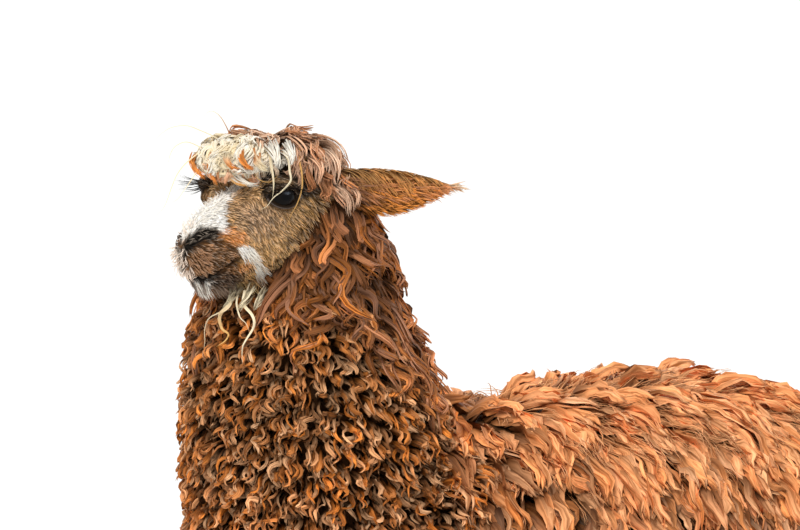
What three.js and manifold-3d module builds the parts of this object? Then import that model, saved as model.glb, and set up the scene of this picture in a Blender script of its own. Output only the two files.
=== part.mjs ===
// A standing adult huacaya alpaca in a wet, uncut fleece, as a still life-size model.
// Millimetres, +Z up. The animal faces -Y and its left side is +X. The origin is on the
// floor, under the middle of the whole animal. Every surface is the outside of the coat.
import * as THREE from "three";
import { mergeVertices } from "three/addons/utils/BufferGeometryUtils.js";
import Module from "manifold-3d";

const wasm = await Module();
wasm.setup();
const UP = new THREE.Vector3(0, 0, 1);
const LEVEL = new THREE.Euler(); // no tilt

// ---- Driving dimensions ---------------------------------------------------------------
const GAP = 0.4; // clearance between neighbouring pieces
const SLIVER = 0.1; // most that a surface moves when the slivers left by cuts are merged
const NOSE_Y = -519; // front of the muzzle, before the head turns
const NOSE_Z = 1112; // height of the nostrils
const HEAD_TURN = 12; // degrees that the head looks to the animal's left
const TURN_Y = -340; // where the head turns, on the neck's axis
const RUMP_Y = 492; // back of the breech fleece
const CHEST_Y = -430; // front end of the trunk, inside the neck's base
const BACK_Z = 931; // highest point of the back
const WITHERS_Z = 916; // where the back leaves the neck
const BELLY_Z = 458; // lowest point of the belly fleece
const TRUNK_HALF = 196; // half the width over the ribs
const KNEE_Z = 300; // front knee
const HOCK_Z = 335; // hock
const FETLOCK_Z = 78; // joint above each foot
const TOE_LENGTH = 62;
const TOE_HALF = 15;
const EYE_RADIUS = 18;
const EAR_LENGTH = 148;
const TAIL_LENGTH = 190;
const JAW_Z = NOSE_Z - 62; // the head is parted from the neck at this height
const NAPE_Y = -352; // and behind this place, on a slope
const NECK_BASE = new THREE.Vector3(0, -160, WITHERS_Z - 12); // on the neck's parting plane

// ---- Curves and closed surfaces -------------------------------------------------------

// Value at x of the smooth line through [x, value] knots.
function through(knots, x) {
  const last = knots.length - 2;
  let i = 0;
  while (i < last && x > knots[i + 1][0]) i++;
  const slope = (a, b) => (knots[b][1] - knots[a][1]) / (knots[b][0] - knots[a][0]);
  const width = knots[i + 1][0] - knots[i][0];
  const t = Math.min(1, Math.max(0, (x - knots[i][0]) / width));
  const from = slope(Math.max(0, i - 1), i + 1) * width;
  const to = slope(i, Math.min(last + 1, i + 2)) * width;
  const [a, b] = [knots[i][1], knots[i + 1][1]];
  return (
    a * (1 + 2 * t) * (1 - t) ** 2 +
    from * t * (1 - t) ** 2 +
    b * t * t * (3 - 2 * t) +
    to * t * t * (t - 1)
  );
}

// How much of its full size a form keeps at share t of its length, with both ends rounded
// over the shares `first` and `last`.
function rounded(t, first, last, power = 2) {
  const near = Math.max(0, 1 - t / first);
  const far = Math.max(0, 1 - (1 - t) / last);
  return Math.max(0, 1 - Math.max(near, far) ** power) ** (1 / power);
}

// Closed surface of rings: place(t, angle) gives a point, for t from 0 to 1, and both ends
// close on the middle of their ring.
function skinOf(place, rings, sides) {
  const points = [];
  for (let i = 0; i <= rings; i++) {
    // stations crowd towards both ends, where the form rounds off
    const t = 0.5 - 0.5 * Math.cos((Math.PI * (i + 0.35)) / (rings + 0.7));
    for (let j = 0; j < sides; j++) {
      const p = place(t, (2 * Math.PI * j) / sides);
      points.push(p.x, p.y, p.z);
    }
  }
  const middle = (t) => {
    const sum = new THREE.Vector3();
    for (let j = 0; j < sides; j++) sum.add(place(t, (2 * Math.PI * j) / sides));
    return sum.divideScalar(sides);
  };
  const [start, end] = [middle(0), middle(1)];
  points.push(start.x, start.y, start.z, end.x, end.y, end.z);
  const faces = [];
  for (let i = 0; i < rings; i++)
    for (let j = 0; j < sides; j++) {
      const [a, b] = [i * sides + j, i * sides + ((j + 1) % sides)];
      faces.push(a, b, a + sides, b, b + sides, a + sides);
    }
  const first = (rings + 1) * sides;
  for (let j = 0; j < sides; j++) {
    const k = (j + 1) % sides;
    faces.push(first, k, j, first + 1, rings * sides + j, rings * sides + k);
  }
  const geometry = new THREE.BufferGeometry();
  geometry.setAttribute("position", new THREE.Float32BufferAttribute(points, 3));
  geometry.setIndex(faces);
  return geometry;
}

// Point on a section: half sizes a across and b up, squareness n (2 is an ellipse).
function section(a, b, angle, n = 2) {
  const power = (v) => Math.sign(v) * Math.abs(v) ** (2 / n);
  return [a * power(Math.cos(angle)), b * power(Math.sin(angle))];
}

function solid(geometry) {
  const bare = geometry.index ? geometry.toNonIndexed() : geometry.clone();
  bare.deleteAttribute("normal");
  bare.deleteAttribute("uv");
  const merged = mergeVertices(bare, 1e-3);
  const made = new wasm.Manifold(
    new wasm.Mesh({
      numProp: 3,
      vertProperties: merged.attributes.position.array,
      triVerts: new Uint32Array(merged.index.array),
    }),
  );
  return made.volume() < 0 ? flipped(merged) : made;
}

function flipped(geometry) {
  const index = geometry.index.array;
  for (let i = 0; i < index.length; i += 3)
    [index[i + 1], index[i + 2]] = [index[i + 2], index[i + 1]];
  return new wasm.Manifold(
    new wasm.Mesh({
      numProp: 3,
      vertProperties: geometry.attributes.position.array,
      triVerts: new Uint32Array(index),
    }),
  );
}

// Drops the slivers that cuts leave, moving no surface by more than SLIVER.
function geometryOf(made) {
  const mesh = made.simplify(SLIVER).getMesh();
  const points = new Float32Array(mesh.numVert * 3);
  for (let i = 0; i < mesh.numVert; i++)
    for (let k = 0; k < 3; k++)
      points[3 * i + k] = mesh.vertProperties[i * mesh.numProp + k];
  const geometry = new THREE.BufferGeometry();
  geometry.setAttribute("position", new THREE.BufferAttribute(points, 3));
  geometry.setIndex(new THREE.BufferAttribute(mesh.triVerts, 1));
  return geometry;
}

// Ellipsoid with `detail` sides round its vertical axis.
function ellipsoid(radii, at, tilt, detail) {
  const ball = new THREE.SphereGeometry(1, detail, Math.round(detail * 0.6));
  ball.scale(...radii);
  ball.applyMatrix4(new THREE.Matrix4().makeRotationFromEuler(tilt));
  ball.translate(...at);
  return solid(ball);
}

// Slab on the side of a plane that its normal points to.
function beyond(point, normal) {
  const size = 3000;
  const box = new THREE.BoxGeometry(size, size, size);
  box.translate(0, 0, size / 2);
  box.applyQuaternion(
    new THREE.Quaternion().setFromUnitVectors(UP, normal.clone().normalize()),
  );
  box.translate(point.x, point.y, point.z);
  return solid(box);
}

// Splits a solid by a plane, with the gap between the two pieces.
function parted(whole, point, normal) {
  const n = normal.clone().normalize();
  const ahead = beyond(point.clone().addScaledVector(n, GAP / 2), n);
  const behind = beyond(point.clone().addScaledVector(n, -GAP / 2), n.clone().negate());
  return [whole.intersect(ahead), whole.intersect(behind)];
}

// ---- Trunk ----------------------------------------------------------------------------
// Knots run back along the trunk: place, then the height or half width there.
const backLine = [
  [CHEST_Y, WITHERS_Z - 140],
  [-320, WITHERS_Z - 46],
  [-150, WITHERS_Z],
  [-10, BACK_Z - 3],
  [110, BACK_Z],
  [250, BACK_Z - 12],
  [370, BACK_Z - 58],
  [RUMP_Y, BACK_Z - 150],
];
const bellyLine = [
  [CHEST_Y, BELLY_Z + 150],
  [-320, BELLY_Z + 48],
  [-150, BELLY_Z + 4],
  [40, BELLY_Z],
  [230, BELLY_Z + 22],
  [370, BELLY_Z + 66],
  [RUMP_Y, BELLY_Z + 112],
];
const trunkHalf = [
  [CHEST_Y, TRUNK_HALF - 62],
  [-270, TRUNK_HALF - 22],
  [-100, TRUNK_HALF - 6],
  [80, TRUNK_HALF],
  [330, TRUNK_HALF - 8],
  [RUMP_Y, TRUNK_HALF - 30],
];

// The trunk's barrel, rounder than an ellipse in section; `grow` widens it all over.
function trunkForm(grow = 0) {
  const [chestShare, rumpShare, bluntness, squareness] = [0.2, 0.23, 2.6, 2.35];
  return solid(
    skinOf(
      (t, angle) => {
        const y = CHEST_Y + (RUMP_Y - CHEST_Y) * t;
        const size = rounded(t, chestShare, rumpShare, bluntness);
        const top = through(backLine, y);
        const low = through(bellyLine, y);
        const [x, z] = section(
          through(trunkHalf, y) * size + grow,
          ((top - low) / 2) * size + grow,
          angle,
          squareness,
        );
        return new THREE.Vector3(x, y + grow * (2 * t - 1), (top + low) / 2 + z);
      },
      20,
      26,
    ),
  );
}

// ---- Neck -----------------------------------------------------------------------------
// Knots run up the neck: height, then the axis's place, the half size fore and aft, and
// the half size across.
const neckAxis = [
  [515, -238],
  [620, -272],
  [740, -302],
  [840, -316],
  [940, -331],
  [1040, -348],
  [1110, -344],
  [1185, -330],
];
const neckDeep = [
  [515, 112],
  [620, 148],
  [740, 164],
  [840, 159],
  [940, 148],
  [1040, 122],
  [1110, 105],
  [1185, 82],
];
const neckHalf = [
  [515, 92],
  [620, 128],
  [740, 150],
  [840, 149],
  [940, 139],
  [1040, 114],
  [1110, 96],
  [1185, 78],
];

function neckForm(grow = 0) {
  const [lowShare, highShare, bluntness, squareness] = [0.2, 0.12, 2.2, 2.1];
  const [low, high] = [neckAxis[0][0], neckAxis[neckAxis.length - 1][0]];
  return solid(
    skinOf(
      (t, angle) => {
        const z = low + (high - low) * t;
        const size = rounded(t, lowShare, highShare, bluntness);
        const [x, y] = section(
          through(neckHalf, z) * size + grow,
          through(neckDeep, z) * size + grow,
          angle,
          squareness,
        );
        const axisY = through(neckAxis, z);
        return new THREE.Vector3(x, axisY + y, z + grow * (2 * t - 1));
      },
      18,
      24,
    ),
  );
}

// ---- Head -----------------------------------------------------------------------------
// Modelled with the nose at the origin, looking along -Y, then turned and set in place.
// Knots run back from the nose: distance, then a height or a half width at that distance.
const HEAD_BACK = 230;
const crownLine = [
  [0, 6],
  [12, 15],
  [36, 31],
  [67, 48],
  [94, 64],
  [125, 84],
  [165, 92],
  [HEAD_BACK, 76],
];
const wideLine = [
  [0, -14],
  [40, -12],
  [70, 2],
  [100, 20],
  [150, 24],
  [HEAD_BACK, 16],
];
const jawLine = [
  [0, -34],
  [14, -45],
  [32, -55],
  [75, -57],
  [120, -60],
  [155, -62],
  [HEAD_BACK, -30],
];
const cheekHalf = [
  [0, 21],
  [18, 30],
  [45, 36],
  [70, 43],
  [98, 60],
  [140, 69],
  [180, 73],
  [HEAD_BACK, 62],
];
const EYE = new THREE.Vector3(50, 95, 45); // left eye's centre
const BROW = [21, 30, 20]; // half sizes of the bulge over each eye
const SIDES = { left: 1, right: -1 };

function headPlaced(piece) {
  return piece
    .translate([0, NOSE_Y - TURN_Y, 0])
    .rotate([0, 0, HEAD_TURN])
    .translate([0, TURN_Y, NOSE_Z]);
}

// Head without its topknot: full and round above its widest line, finer below it.
function skullForm(grow = 0) {
  const [muzzleShare, napeShare, bluntness] = [0.11, 0.12, 2.4];
  const [squareAbove, squareBelow] = [2.2, 1.9];
  return solid(
    skinOf(
      (t, angle) => {
        const y = HEAD_BACK * t;
        const size = rounded(t, muzzleShare, napeShare, bluntness);
        const wide = through(wideLine, y);
        const squareness = Math.sin(angle) > 0 ? squareAbove : squareBelow;
        const [x, z] = section(1, 1, angle, squareness);
        const height = z > 0 ? through(crownLine, y) - wide : wide - through(jawLine, y);
        return new THREE.Vector3(
          (through(cheekHalf, y) * size + grow) * x,
          y + grow * (2 * t - 1),
          wide + (height * size + grow) * z,
        );
      },
      20,
      24,
    ),
  );
}

// Mop of longer fleece over the forehead and crown, with its fringe over the brows.
function topknotForm(grow = 0) {
  const around = (radii, ...more) => ellipsoid(radii.map((r) => r + grow), ...more);
  const mop = around([67, 80, 38], [0, 132, 72], new THREE.Euler(-0.12, 0, 0), 18);
  const fringe = around([56, 40, 26], [0, 84, 82], new THREE.Euler(0.22, 0, 0), 14);
  return mop.add(fringe);
}

// Bulge of the bony socket over and behind each eye.
function browForm(side) {
  return ellipsoid(BROW, [side * (EYE.x - 7), EYE.y, EYE.z + 10], LEVEL, 12);
}

function eyeForm(side, grow = 0) {
  const r = EYE_RADIUS + grow;
  return ellipsoid([r, r, r], [side * EYE.x, EYE.y, EYE.z], LEVEL, 14);
}

// Slit of a nostril, cut on a slant into the side of the muzzle.
function nostrilForm(side) {
  const slant = new THREE.Euler(0.7, side * 0.4, side * 0.6);
  return ellipsoid([5, 11, 4], [side * 21, 10, 2], slant, 8);
}

// Groove of the closed mouth: a thin bent wedge that runs round the muzzle below the
// nostrils and rises to each corner. Its knots run back from the lips' middle.
const mouthLine = [
  [0, -35],
  [5, -42],
  [15, -39],
  [27, -33],
  [45, -22],
  [54, -17],
];

function mouthForm() {
  const [halfGroove, depth] = [1.6, 7];
  const length = mouthLine[mouthLine.length - 1][0];
  return solid(
    skinOf(
      (t, angle) => {
        const around = 2 * t - 1; // from the right corner, -1, to the left one, 1
        const back = length * Math.abs(around) ** 1.7;
        const turn = Math.min(1, 3 * Math.abs(around)) ** 0.7;
        const x = Math.sign(around) * (through(cheekHalf, back + 1) + 1) * turn;
        const out = new THREE.Vector3(x, back - 30, 0).normalize();
        const [inward, up] = section(depth, halfGroove, angle);
        return new THREE.Vector3(
          x + out.x * inward,
          back + 1 + out.y * inward,
          through(mouthLine, back) + up,
        );
      },
      16,
      4,
    ),
  );
}

// ---- Ears -----------------------------------------------------------------------------
// A long leaf, hollowed on its outer side, laid back level behind the head.
const EAR_ROOT = [52, 170, 51];
const EAR_OUT = 17; // degrees that the ear points outwards
const EAR_DROOP = 3; // degrees that its tip hangs
const EAR_HALF = 28;

function earForm(side) {
  const [thickRoot, thickTip, troughDepth, sag] = [8.6, 2.6, 9, 6];
  const leaf = skinOf(
    (t, angle) => {
      const narrowRoot = 1 - 0.42 * (1 - t) ** 3;
      const pointedTip = Math.max(0, 1 - t ** 3.2) ** 0.62;
      const wide = EAR_HALF * narrowRoot * pointedTip + 0.8;
      const thick = THREE.MathUtils.lerp(thickRoot, thickTip, t);
      const [across, out] = section(wide, thick, angle, 2.2);
      // the blade curls round its long axis, so its outer face is a shallow trough
      const trough = troughDepth * (across / EAR_HALF) ** 2 * (1 - 0.4 * t);
      const low = across - sag * Math.sin(Math.PI * t);
      return new THREE.Vector3(out + trough, EAR_LENGTH * t, low);
    },
    12,
    12,
  );
  leaf.rotateX(THREE.MathUtils.degToRad(-EAR_DROOP));
  leaf.rotateZ(THREE.MathUtils.degToRad(-EAR_OUT));
  leaf.scale(side, 1, 1);
  leaf.translate(side * EAR_ROOT[0], EAR_ROOT[1], EAR_ROOT[2]);
  return solid(leaf);
}

// ---- Legs -----------------------------------------------------------------------------
// Knots run up each leg: height, then the axis's place or the half size at that height.
// `foot` is where the toes spread from, and `joint` the height of the knee or hock.
const SOLE_END = 10; // where the shaft ends inside the toes
const frontLeg = {
  foot: [92, -240],
  x: [[SOLE_END, 92], [KNEE_Z, 94], [450, 92], [700, 84]],
  y: [[SOLE_END, -236], [FETLOCK_Z, -214], [KNEE_Z, -224], [450, -216], [700, -222]],
  across: [[SOLE_END, 25], [FETLOCK_Z, 29], [180, 29], [KNEE_Z, 40], [400, 56], [520, 74], [700, 88]],
  deep: [[SOLE_END, 28], [FETLOCK_Z, 34], [180, 33], [KNEE_Z, 45], [400, 72], [520, 104], [700, 150]],
  joint: KNEE_Z,
  top: 700,
};
const hindLeg = {
  foot: [94, 352],
  x: [[SOLE_END, 94], [HOCK_Z, 98], [500, 100], [760, 92]],
  y: [[SOLE_END, 352], [FETLOCK_Z, 380], [200, 394], [HOCK_Z, 410], [430, 370], [540, 334], [760, 300]],
  across: [[SOLE_END, 25], [FETLOCK_Z, 29], [200, 30], [HOCK_Z, 38], [430, 62], [560, 84], [760, 98]],
  deep: [[SOLE_END, 28], [FETLOCK_Z, 35], [200, 35], [HOCK_Z, 50], [430, 88], [560, 132], [760, 170]],
  joint: HOCK_Z,
  top: 760,
};

function limbForm(leg, side) {
  return solid(
    skinOf(
      (t, angle) => {
        const z = THREE.MathUtils.lerp(SOLE_END, leg.top, t);
        const size = rounded(t, 0.04, 0.1);
        const [x, y] = section(
          through(leg.across, z) * size,
          through(leg.deep, z) * size,
          angle,
        );
        return new THREE.Vector3(side * (through(leg.x, z) + x), through(leg.y, z) + y, z);
      },
      14,
      12,
    ),
  );
}

// One toe: a padded loaf with a flat sole, which reaches back under the fetlock.
const HEEL = 12;
function toeForm(centreX, heelY) {
  const middle = [centreX, heelY + HEEL - TOE_LENGTH / 2, 17];
  const loaf = ellipsoid([TOE_HALF, TOE_LENGTH / 2, 25], middle, LEVEL, 9);
  return loaf.intersect(beyond(new THREE.Vector3(), UP));
}

// A toenail: a curved horn cap that ends just above the floor.
const NAIL_CLEAR = 1.5;
function nailForm(centreX, tipY, grow = 0) {
  const horn = ellipsoid(
    [7.5 + grow, 17 + grow, 9 + grow],
    [centreX, tipY + 8, 13],
    new THREE.Euler(-0.5, 0, 0),
    7,
  );
  const lowest = new THREE.Vector3(0, 0, NAIL_CLEAR - grow);
  return horn.intersect(beyond(lowest, UP));
}

// ---- Tail -----------------------------------------------------------------------------
// It hangs down over the breech, fullest in its middle.
function tailForm() {
  const [half, halfThick, dockZ, standOff] = [42, 26, BACK_Z - 92, 36];
  return solid(
    skinOf(
      (t, angle) => {
        const size = rounded(t, 0.25, 0.6, 2.1);
        const [x, y] = section(half * size, halfThick * size, angle);
        const swing = standOff * Math.sin(0.5 * Math.PI * Math.min(1, 1.7 * t));
        return new THREE.Vector3(x, RUMP_Y - 34 + swing + y, dockZ - TAIL_LENGTH * t);
      },
      9,
      10,
    ),
  );
}

// ---- Assembly -------------------------------------------------------------------------
const finish = (red, green, blue, roughness) =>
  new THREE.MeshStandardMaterial({
    color: new THREE.Color(red, green, blue),
    roughness,
    metalness: 0,
  });
const finishes = {
  fleece: finish(0.42, 0.19, 0.09, 0.7),
  face: finish(0.42, 0.31, 0.22, 0.75),
  ear: finish(0.45, 0.24, 0.1, 0.75),
  eye: finish(0.015, 0.01, 0.01, 0.08),
  nail: finish(0.07, 0.055, 0.05, 0.5),
};
const alpaca = new THREE.Group();

function add(name, made, slot) {
  const mesh = new THREE.Mesh(geometryOf(made), finishes[slot]);
  mesh.name = name;
  alpaca.add(mesh);
}

// The head, neck and trunk are one form, parted under the jaw, behind the cheeks and
// across the neck's base. The head's share is what lies ahead of the nape and above the
// jaw; `shift` moves both planes outwards.
function headRegion(shift) {
  const nape = new THREE.Vector3(0, NAPE_Y + shift, JAW_Z);
  const ahead = beyond(nape, new THREE.Vector3(0, -1, 0.35));
  return ahead.intersect(beyond(new THREE.Vector3(0, 0, JAW_Z - shift), UP));
}

let skull = skullForm().add(topknotForm());
for (const side of Object.values(SIDES))
  skull = skull.add(browForm(side)).subtract(eyeForm(side, GAP)).subtract(nostrilForm(side));
skull = headPlaced(skull.subtract(mouthForm()));
const carcass = skull.add(neckForm()).add(trunkForm());
const below = carcass.subtract(headRegion(GAP));
const [neck, trunk] = parted(below, NECK_BASE, new THREE.Vector3(0, -0.5, 1));
add("head", carcass.intersect(headRegion(0)), "face");
add("neck", neck, "fleece");
add("trunk", trunk, "fleece");

const headSpace = headPlaced(skullForm(GAP).add(topknotForm(GAP))).add(neckForm(GAP));
for (const [name, side] of Object.entries(SIDES)) {
  add("eye_" + name, headPlaced(eyeForm(side)), "eye");
  add("ear_" + name, headPlaced(earForm(side)).subtract(headSpace), "ear");
}

const trunkSpace = trunkForm(GAP);
add("tail", tailForm().subtract(trunkSpace), "fleece");

// Each leg is one shaft, parted at the knee or hock and at the fetlock, with two toes.
for (const [end, leg] of Object.entries({ front: frontLeg, hind: hindLeg }))
  for (const [name, side] of Object.entries(SIDES)) {
    const label = end + "_" + name + "_";
    const limb = limbForm(leg, side).subtract(trunkSpace);
    const [upper, rest] = parted(limb, new THREE.Vector3(0, 0, leg.joint), UP);
    const [lower, pastern] = parted(rest, new THREE.Vector3(0, 0, FETLOCK_Z), UP);
    add(label + "upper_leg", upper, "fleece");
    add(label + "lower_leg", lower, "fleece");
    const tipY = leg.foot[1] + HEEL - TOE_LENGTH;
    let foot = pastern;
    for (const [toe, shift] of Object.entries({ inner: -1, outer: 1 })) {
      const x = side * (leg.foot[0] + shift * (TOE_HALF + 1));
      foot = foot.add(toeForm(x, leg.foot[1])).subtract(nailForm(x, tipY, GAP));
      add(label + "nail_" + toe, nailForm(x, tipY), "nail");
    }
    add(label + "foot", foot, "fleece");
  }
export default alpaca;
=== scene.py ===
import math

import bpy
import numpy as np
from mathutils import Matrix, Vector


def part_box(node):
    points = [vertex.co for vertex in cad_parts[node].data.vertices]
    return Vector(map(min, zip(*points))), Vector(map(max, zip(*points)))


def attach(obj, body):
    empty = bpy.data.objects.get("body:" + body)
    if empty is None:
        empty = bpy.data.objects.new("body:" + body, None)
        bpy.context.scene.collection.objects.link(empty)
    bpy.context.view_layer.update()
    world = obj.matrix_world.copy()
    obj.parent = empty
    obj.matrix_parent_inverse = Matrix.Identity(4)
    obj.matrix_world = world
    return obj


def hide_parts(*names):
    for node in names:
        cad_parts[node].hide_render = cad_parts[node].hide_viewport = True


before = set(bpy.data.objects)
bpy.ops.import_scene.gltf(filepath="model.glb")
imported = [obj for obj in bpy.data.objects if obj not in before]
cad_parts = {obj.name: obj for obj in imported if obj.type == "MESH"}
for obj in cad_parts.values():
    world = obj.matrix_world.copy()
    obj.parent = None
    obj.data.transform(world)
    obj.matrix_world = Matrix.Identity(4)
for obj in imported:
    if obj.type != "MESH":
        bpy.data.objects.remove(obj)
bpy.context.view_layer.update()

# ======================================================================================
# Skin of the body. Thin hide over trunk, neck, tail and legs, painted dark as the shade
# under the wool, one surface that lies under the wool by the wool's depth. Each form is a
# loft of rings round a line, in millimetres from the frame's boxes, and a voxel remesh
# runs them together with no seam.
# ======================================================================================
MM = 0.001
trunk_low, trunk_high = (1000 * np.array(corner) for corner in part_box("trunk"))
JAW_Z = 1000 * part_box("head")[0].z  # where the head is parted from the neck
BACK_Z = trunk_high[2]
RUMP_Y = trunk_high[1]
TRUNK_HALF = trunk_high[0]
BELLY_Z = trunk_low[2]
CHEST_Y = -430
WITHERS_Z = BACK_Z - 15
FETLOCK_Z = 78
KNEE_Z = 300
HOCK_Z = 335
WOOL_TRUNK, WOOL_NECK, WOOL_TAIL = 27, 31, 15  # depth of the wool over the hide


def through(knots, x):
    """Smooth line through (x, value) knots: on each stretch a cubic, whose slope at a knot
    is that of the chord between the knot's two neighbours."""
    place, value = np.asarray(knots, float).T
    slope = np.empty(len(place))
    slope[1:-1] = (value[2:] - value[:-2]) / (place[2:] - place[:-2])
    slope[0] = (value[1] - value[0]) / (place[1] - place[0])
    slope[-1] = (value[-1] - value[-2]) / (place[-1] - place[-2])
    i = np.clip(np.searchsorted(place, x, side="right") - 1, 0, len(place) - 2)
    width = place[i + 1] - place[i]
    t = np.clip((x - place[i]) / width, 0, 1)
    near, far = (1 - t) ** 2, t * t
    return (
        value[i] * (1 + 2 * t) * near
        + slope[i] * width * t * near
        + value[i + 1] * far * (3 - 2 * t)
        + slope[i + 1] * width * far * (t - 1)
    )


def rounded(t, first, last, power):
    """Share of full size at share t of a form's length: 1 in the middle, falling to 0 at
    each end along a superellipse arc over the shares `first` and `last`."""
    near = np.maximum(0, 1 - t / first)
    far = np.maximum(0, 1 - (1 - t) / last)
    return np.maximum(0, 1 - np.maximum(near, far) ** power) ** (1 / power)


def superellipse(across, up, angle, square):
    """Point of a section: each half size times the cosine or sine, raised to 2/square with
    its sign kept, so that 2 is an ellipse and more is squarer."""
    c, s = np.cos(angle), np.sin(angle)
    return (
        across * np.sign(c) * np.abs(c) ** (2 / square),
        up * np.sign(s) * np.abs(s) ** (2 / square),
    )


def loft(points):
    """Closed surface over a grid of rings: quads between rings split in two, and a fan from
    the middle of the first and last ring."""
    rings, sides = points.shape[:2]
    k = np.arange(rings * sides).reshape(rings, sides)
    a, b = k[:-1], np.roll(k, -1, 1)[:-1]
    c, d = k[1:], np.roll(k, -1, 1)[1:]
    walls = np.stack([a, b, c, b, d, c], -1).reshape(-1, 3)
    first, last = rings * sides, rings * sides + 1
    ring0, ring1 = k[0], k[-1]
    caps = np.concatenate(
        [
            np.stack([np.full(sides, first), np.roll(ring0, -1), ring0], 1),
            np.stack([np.full(sides, last), ring1, np.roll(ring1, -1)], 1),
        ]
    )
    poles = np.stack([points[0].mean(0), points[-1].mean(0)])
    return np.concatenate([points.reshape(-1, 3), poles]), np.concatenate([walls, caps])


def outward(points, faces):
    """The same faces, turned round if their signed volume says that they point inwards."""
    a, b, c = points[faces[:, 0]], points[faces[:, 1]], points[faces[:, 2]]
    return faces if np.sum(a * np.cross(b, c)) > 0 else faces[:, ::-1]


def joined(parts):
    """Several (points, faces) surfaces as one, the face numbers shifted past the points."""
    starts = np.cumsum([0] + [len(p) for p, f in parts[:-1]])
    return (
        np.concatenate([p for p, f in parts]),
        np.concatenate([outward(p, f) + n for (p, f), n in zip(parts, starts)]),
    )


def stations(count, sides):
    """Shares of length, crowded towards both ends by a cosine, and angles, as a grid."""
    t = 0.5 - 0.5 * np.cos(np.pi * (np.arange(count) + 0.3) / (count - 0.4))
    return t[:, None], (2 * np.pi * np.arange(sides) / sides)[None, :]


def mesh_object(name, points, faces):
    """A smooth-shaded mesh object of triangles, from points in metres."""
    mesh = bpy.data.meshes.new(name)
    mesh.vertices.add(len(points))
    mesh.vertices.foreach_set("co", np.ascontiguousarray(points, np.float32).ravel())
    mesh.loops.add(3 * len(faces))
    mesh.loops.foreach_set("vertex_index", np.ascontiguousarray(faces, np.int32).ravel())
    mesh.polygons.add(len(faces))
    mesh.polygons.foreach_set("loop_start", np.arange(0, 3 * len(faces), 3, dtype=np.int32))
    mesh.polygons.foreach_set("use_smooth", np.ones(len(faces), bool))
    mesh.update(calc_edges=True)
    made = bpy.data.objects.new(name, mesh)
    bpy.context.scene.collection.objects.link(made)
    return made


back_line = [
    (CHEST_Y, WITHERS_Z - 140), (-320, WITHERS_Z - 46), (-150, WITHERS_Z),
    (-10, BACK_Z - 3), (110, BACK_Z), (250, BACK_Z - 12), (370, BACK_Z - 58),
    (RUMP_Y, BACK_Z - 150),
]
belly_line = [
    (CHEST_Y, BELLY_Z + 150), (-320, BELLY_Z + 48), (-150, BELLY_Z + 4), (40, BELLY_Z),
    (230, BELLY_Z + 22), (370, BELLY_Z + 66), (RUMP_Y, BELLY_Z + 112),
]
trunk_half = [
    (CHEST_Y, TRUNK_HALF - 62), (-270, TRUNK_HALF - 22), (-100, TRUNK_HALF - 6),
    (80, TRUNK_HALF), (330, TRUNK_HALF - 8), (RUMP_Y, TRUNK_HALF - 30),
]


def trunk_skin():
    """Rings along the back: each a superellipse between the back line and the belly line,
    less the wool's depth all round, the ends rounded at chest and rump."""
    t, angle = stations(90, 96)
    y = CHEST_Y + (RUMP_Y - CHEST_Y) * t
    size = rounded(t, 0.2, 0.23, 2.6)
    top, low = through(back_line, y), through(belly_line, y)
    half = through(trunk_half, y) * size - WOOL_TRUNK
    deep = (top - low) / 2 * size - WOOL_TRUNK
    x, z = superellipse(np.maximum(half, 2), np.maximum(deep, 2), angle, 2.35)
    y = y + (0.5 - t) * 2 * WOOL_TRUNK + 0 * angle
    return np.stack([x, y, (top + low) / 2 + z], -1)


NECK_LOW, NECK_HIGH = 515, 1185
neck_axis = [
    (515, -238), (620, -272), (740, -302), (840, -316), (940, -331), (1040, -348),
    (1110, -344), (1185, -330),
]
neck_deep = [
    (515, 112), (620, 148), (740, 164), (840, 159), (940, 148), (1040, 122), (1110, 105),
    (1185, 82),
]
neck_half = [
    (515, 92), (620, 128), (740, 150), (840, 149), (940, 139), (1040, 114), (1110, 96),
    (1185, 78),
]


def neck_skin():
    """Rings up the neck: each an upright-axis ellipse, less the wool's depth."""
    t, angle = stations(80, 80)
    z = NECK_LOW + (NECK_HIGH - NECK_LOW) * t
    size = rounded(t, 0.2, 0.12, 2.2)
    half = through(neck_half, z) * size - WOOL_NECK
    deep = through(neck_deep, z) * size - WOOL_NECK
    x, y = superellipse(np.maximum(half, 2), np.maximum(deep, 2), angle, 2.1)
    return np.stack([x, through(neck_axis, z) + y, z - WOOL_NECK * t + 0 * angle], -1)


# a leg's hair is short on the shank and deepens to fleece on the thigh and forearm
leg_wool = [(0, 3), (FETLOCK_Z, 6), (180, 8), (KNEE_Z, 12), (430, 21), (560, WOOL_TRUNK)]
legs = {
    "front": dict(
        x=[(10, 92), (KNEE_Z, 94), (450, 92), (700, 84)],
        y=[(10, -236), (FETLOCK_Z, -214), (KNEE_Z, -224), (450, -216), (700, -222)],
        across=[
            (10, 25), (FETLOCK_Z, 29), (180, 29), (KNEE_Z, 40), (400, 56), (520, 74),
            (700, 88),
        ],
        deep=[
            (10, 28), (FETLOCK_Z, 34), (180, 33), (KNEE_Z, 45), (400, 72), (520, 104),
            (700, 150),
        ],
        joint=KNEE_Z, top=700, toes=(92, -240),
    ),
    "hind": dict(
        x=[(10, 94), (HOCK_Z, 98), (500, 100), (760, 92)],
        y=[
            (10, 352), (FETLOCK_Z, 380), (200, 394), (HOCK_Z, 410), (430, 370),
            (540, 334), (760, 300),
        ],
        across=[
            (10, 25), (FETLOCK_Z, 29), (200, 30), (HOCK_Z, 38), (430, 62), (560, 84),
            (760, 98),
        ],
        deep=[
            (10, 28), (FETLOCK_Z, 35), (200, 35), (HOCK_Z, 50), (430, 88), (560, 132),
            (760, 170),
        ],
        joint=HOCK_Z, top=760, toes=(94, 352),
    ),
}


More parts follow.
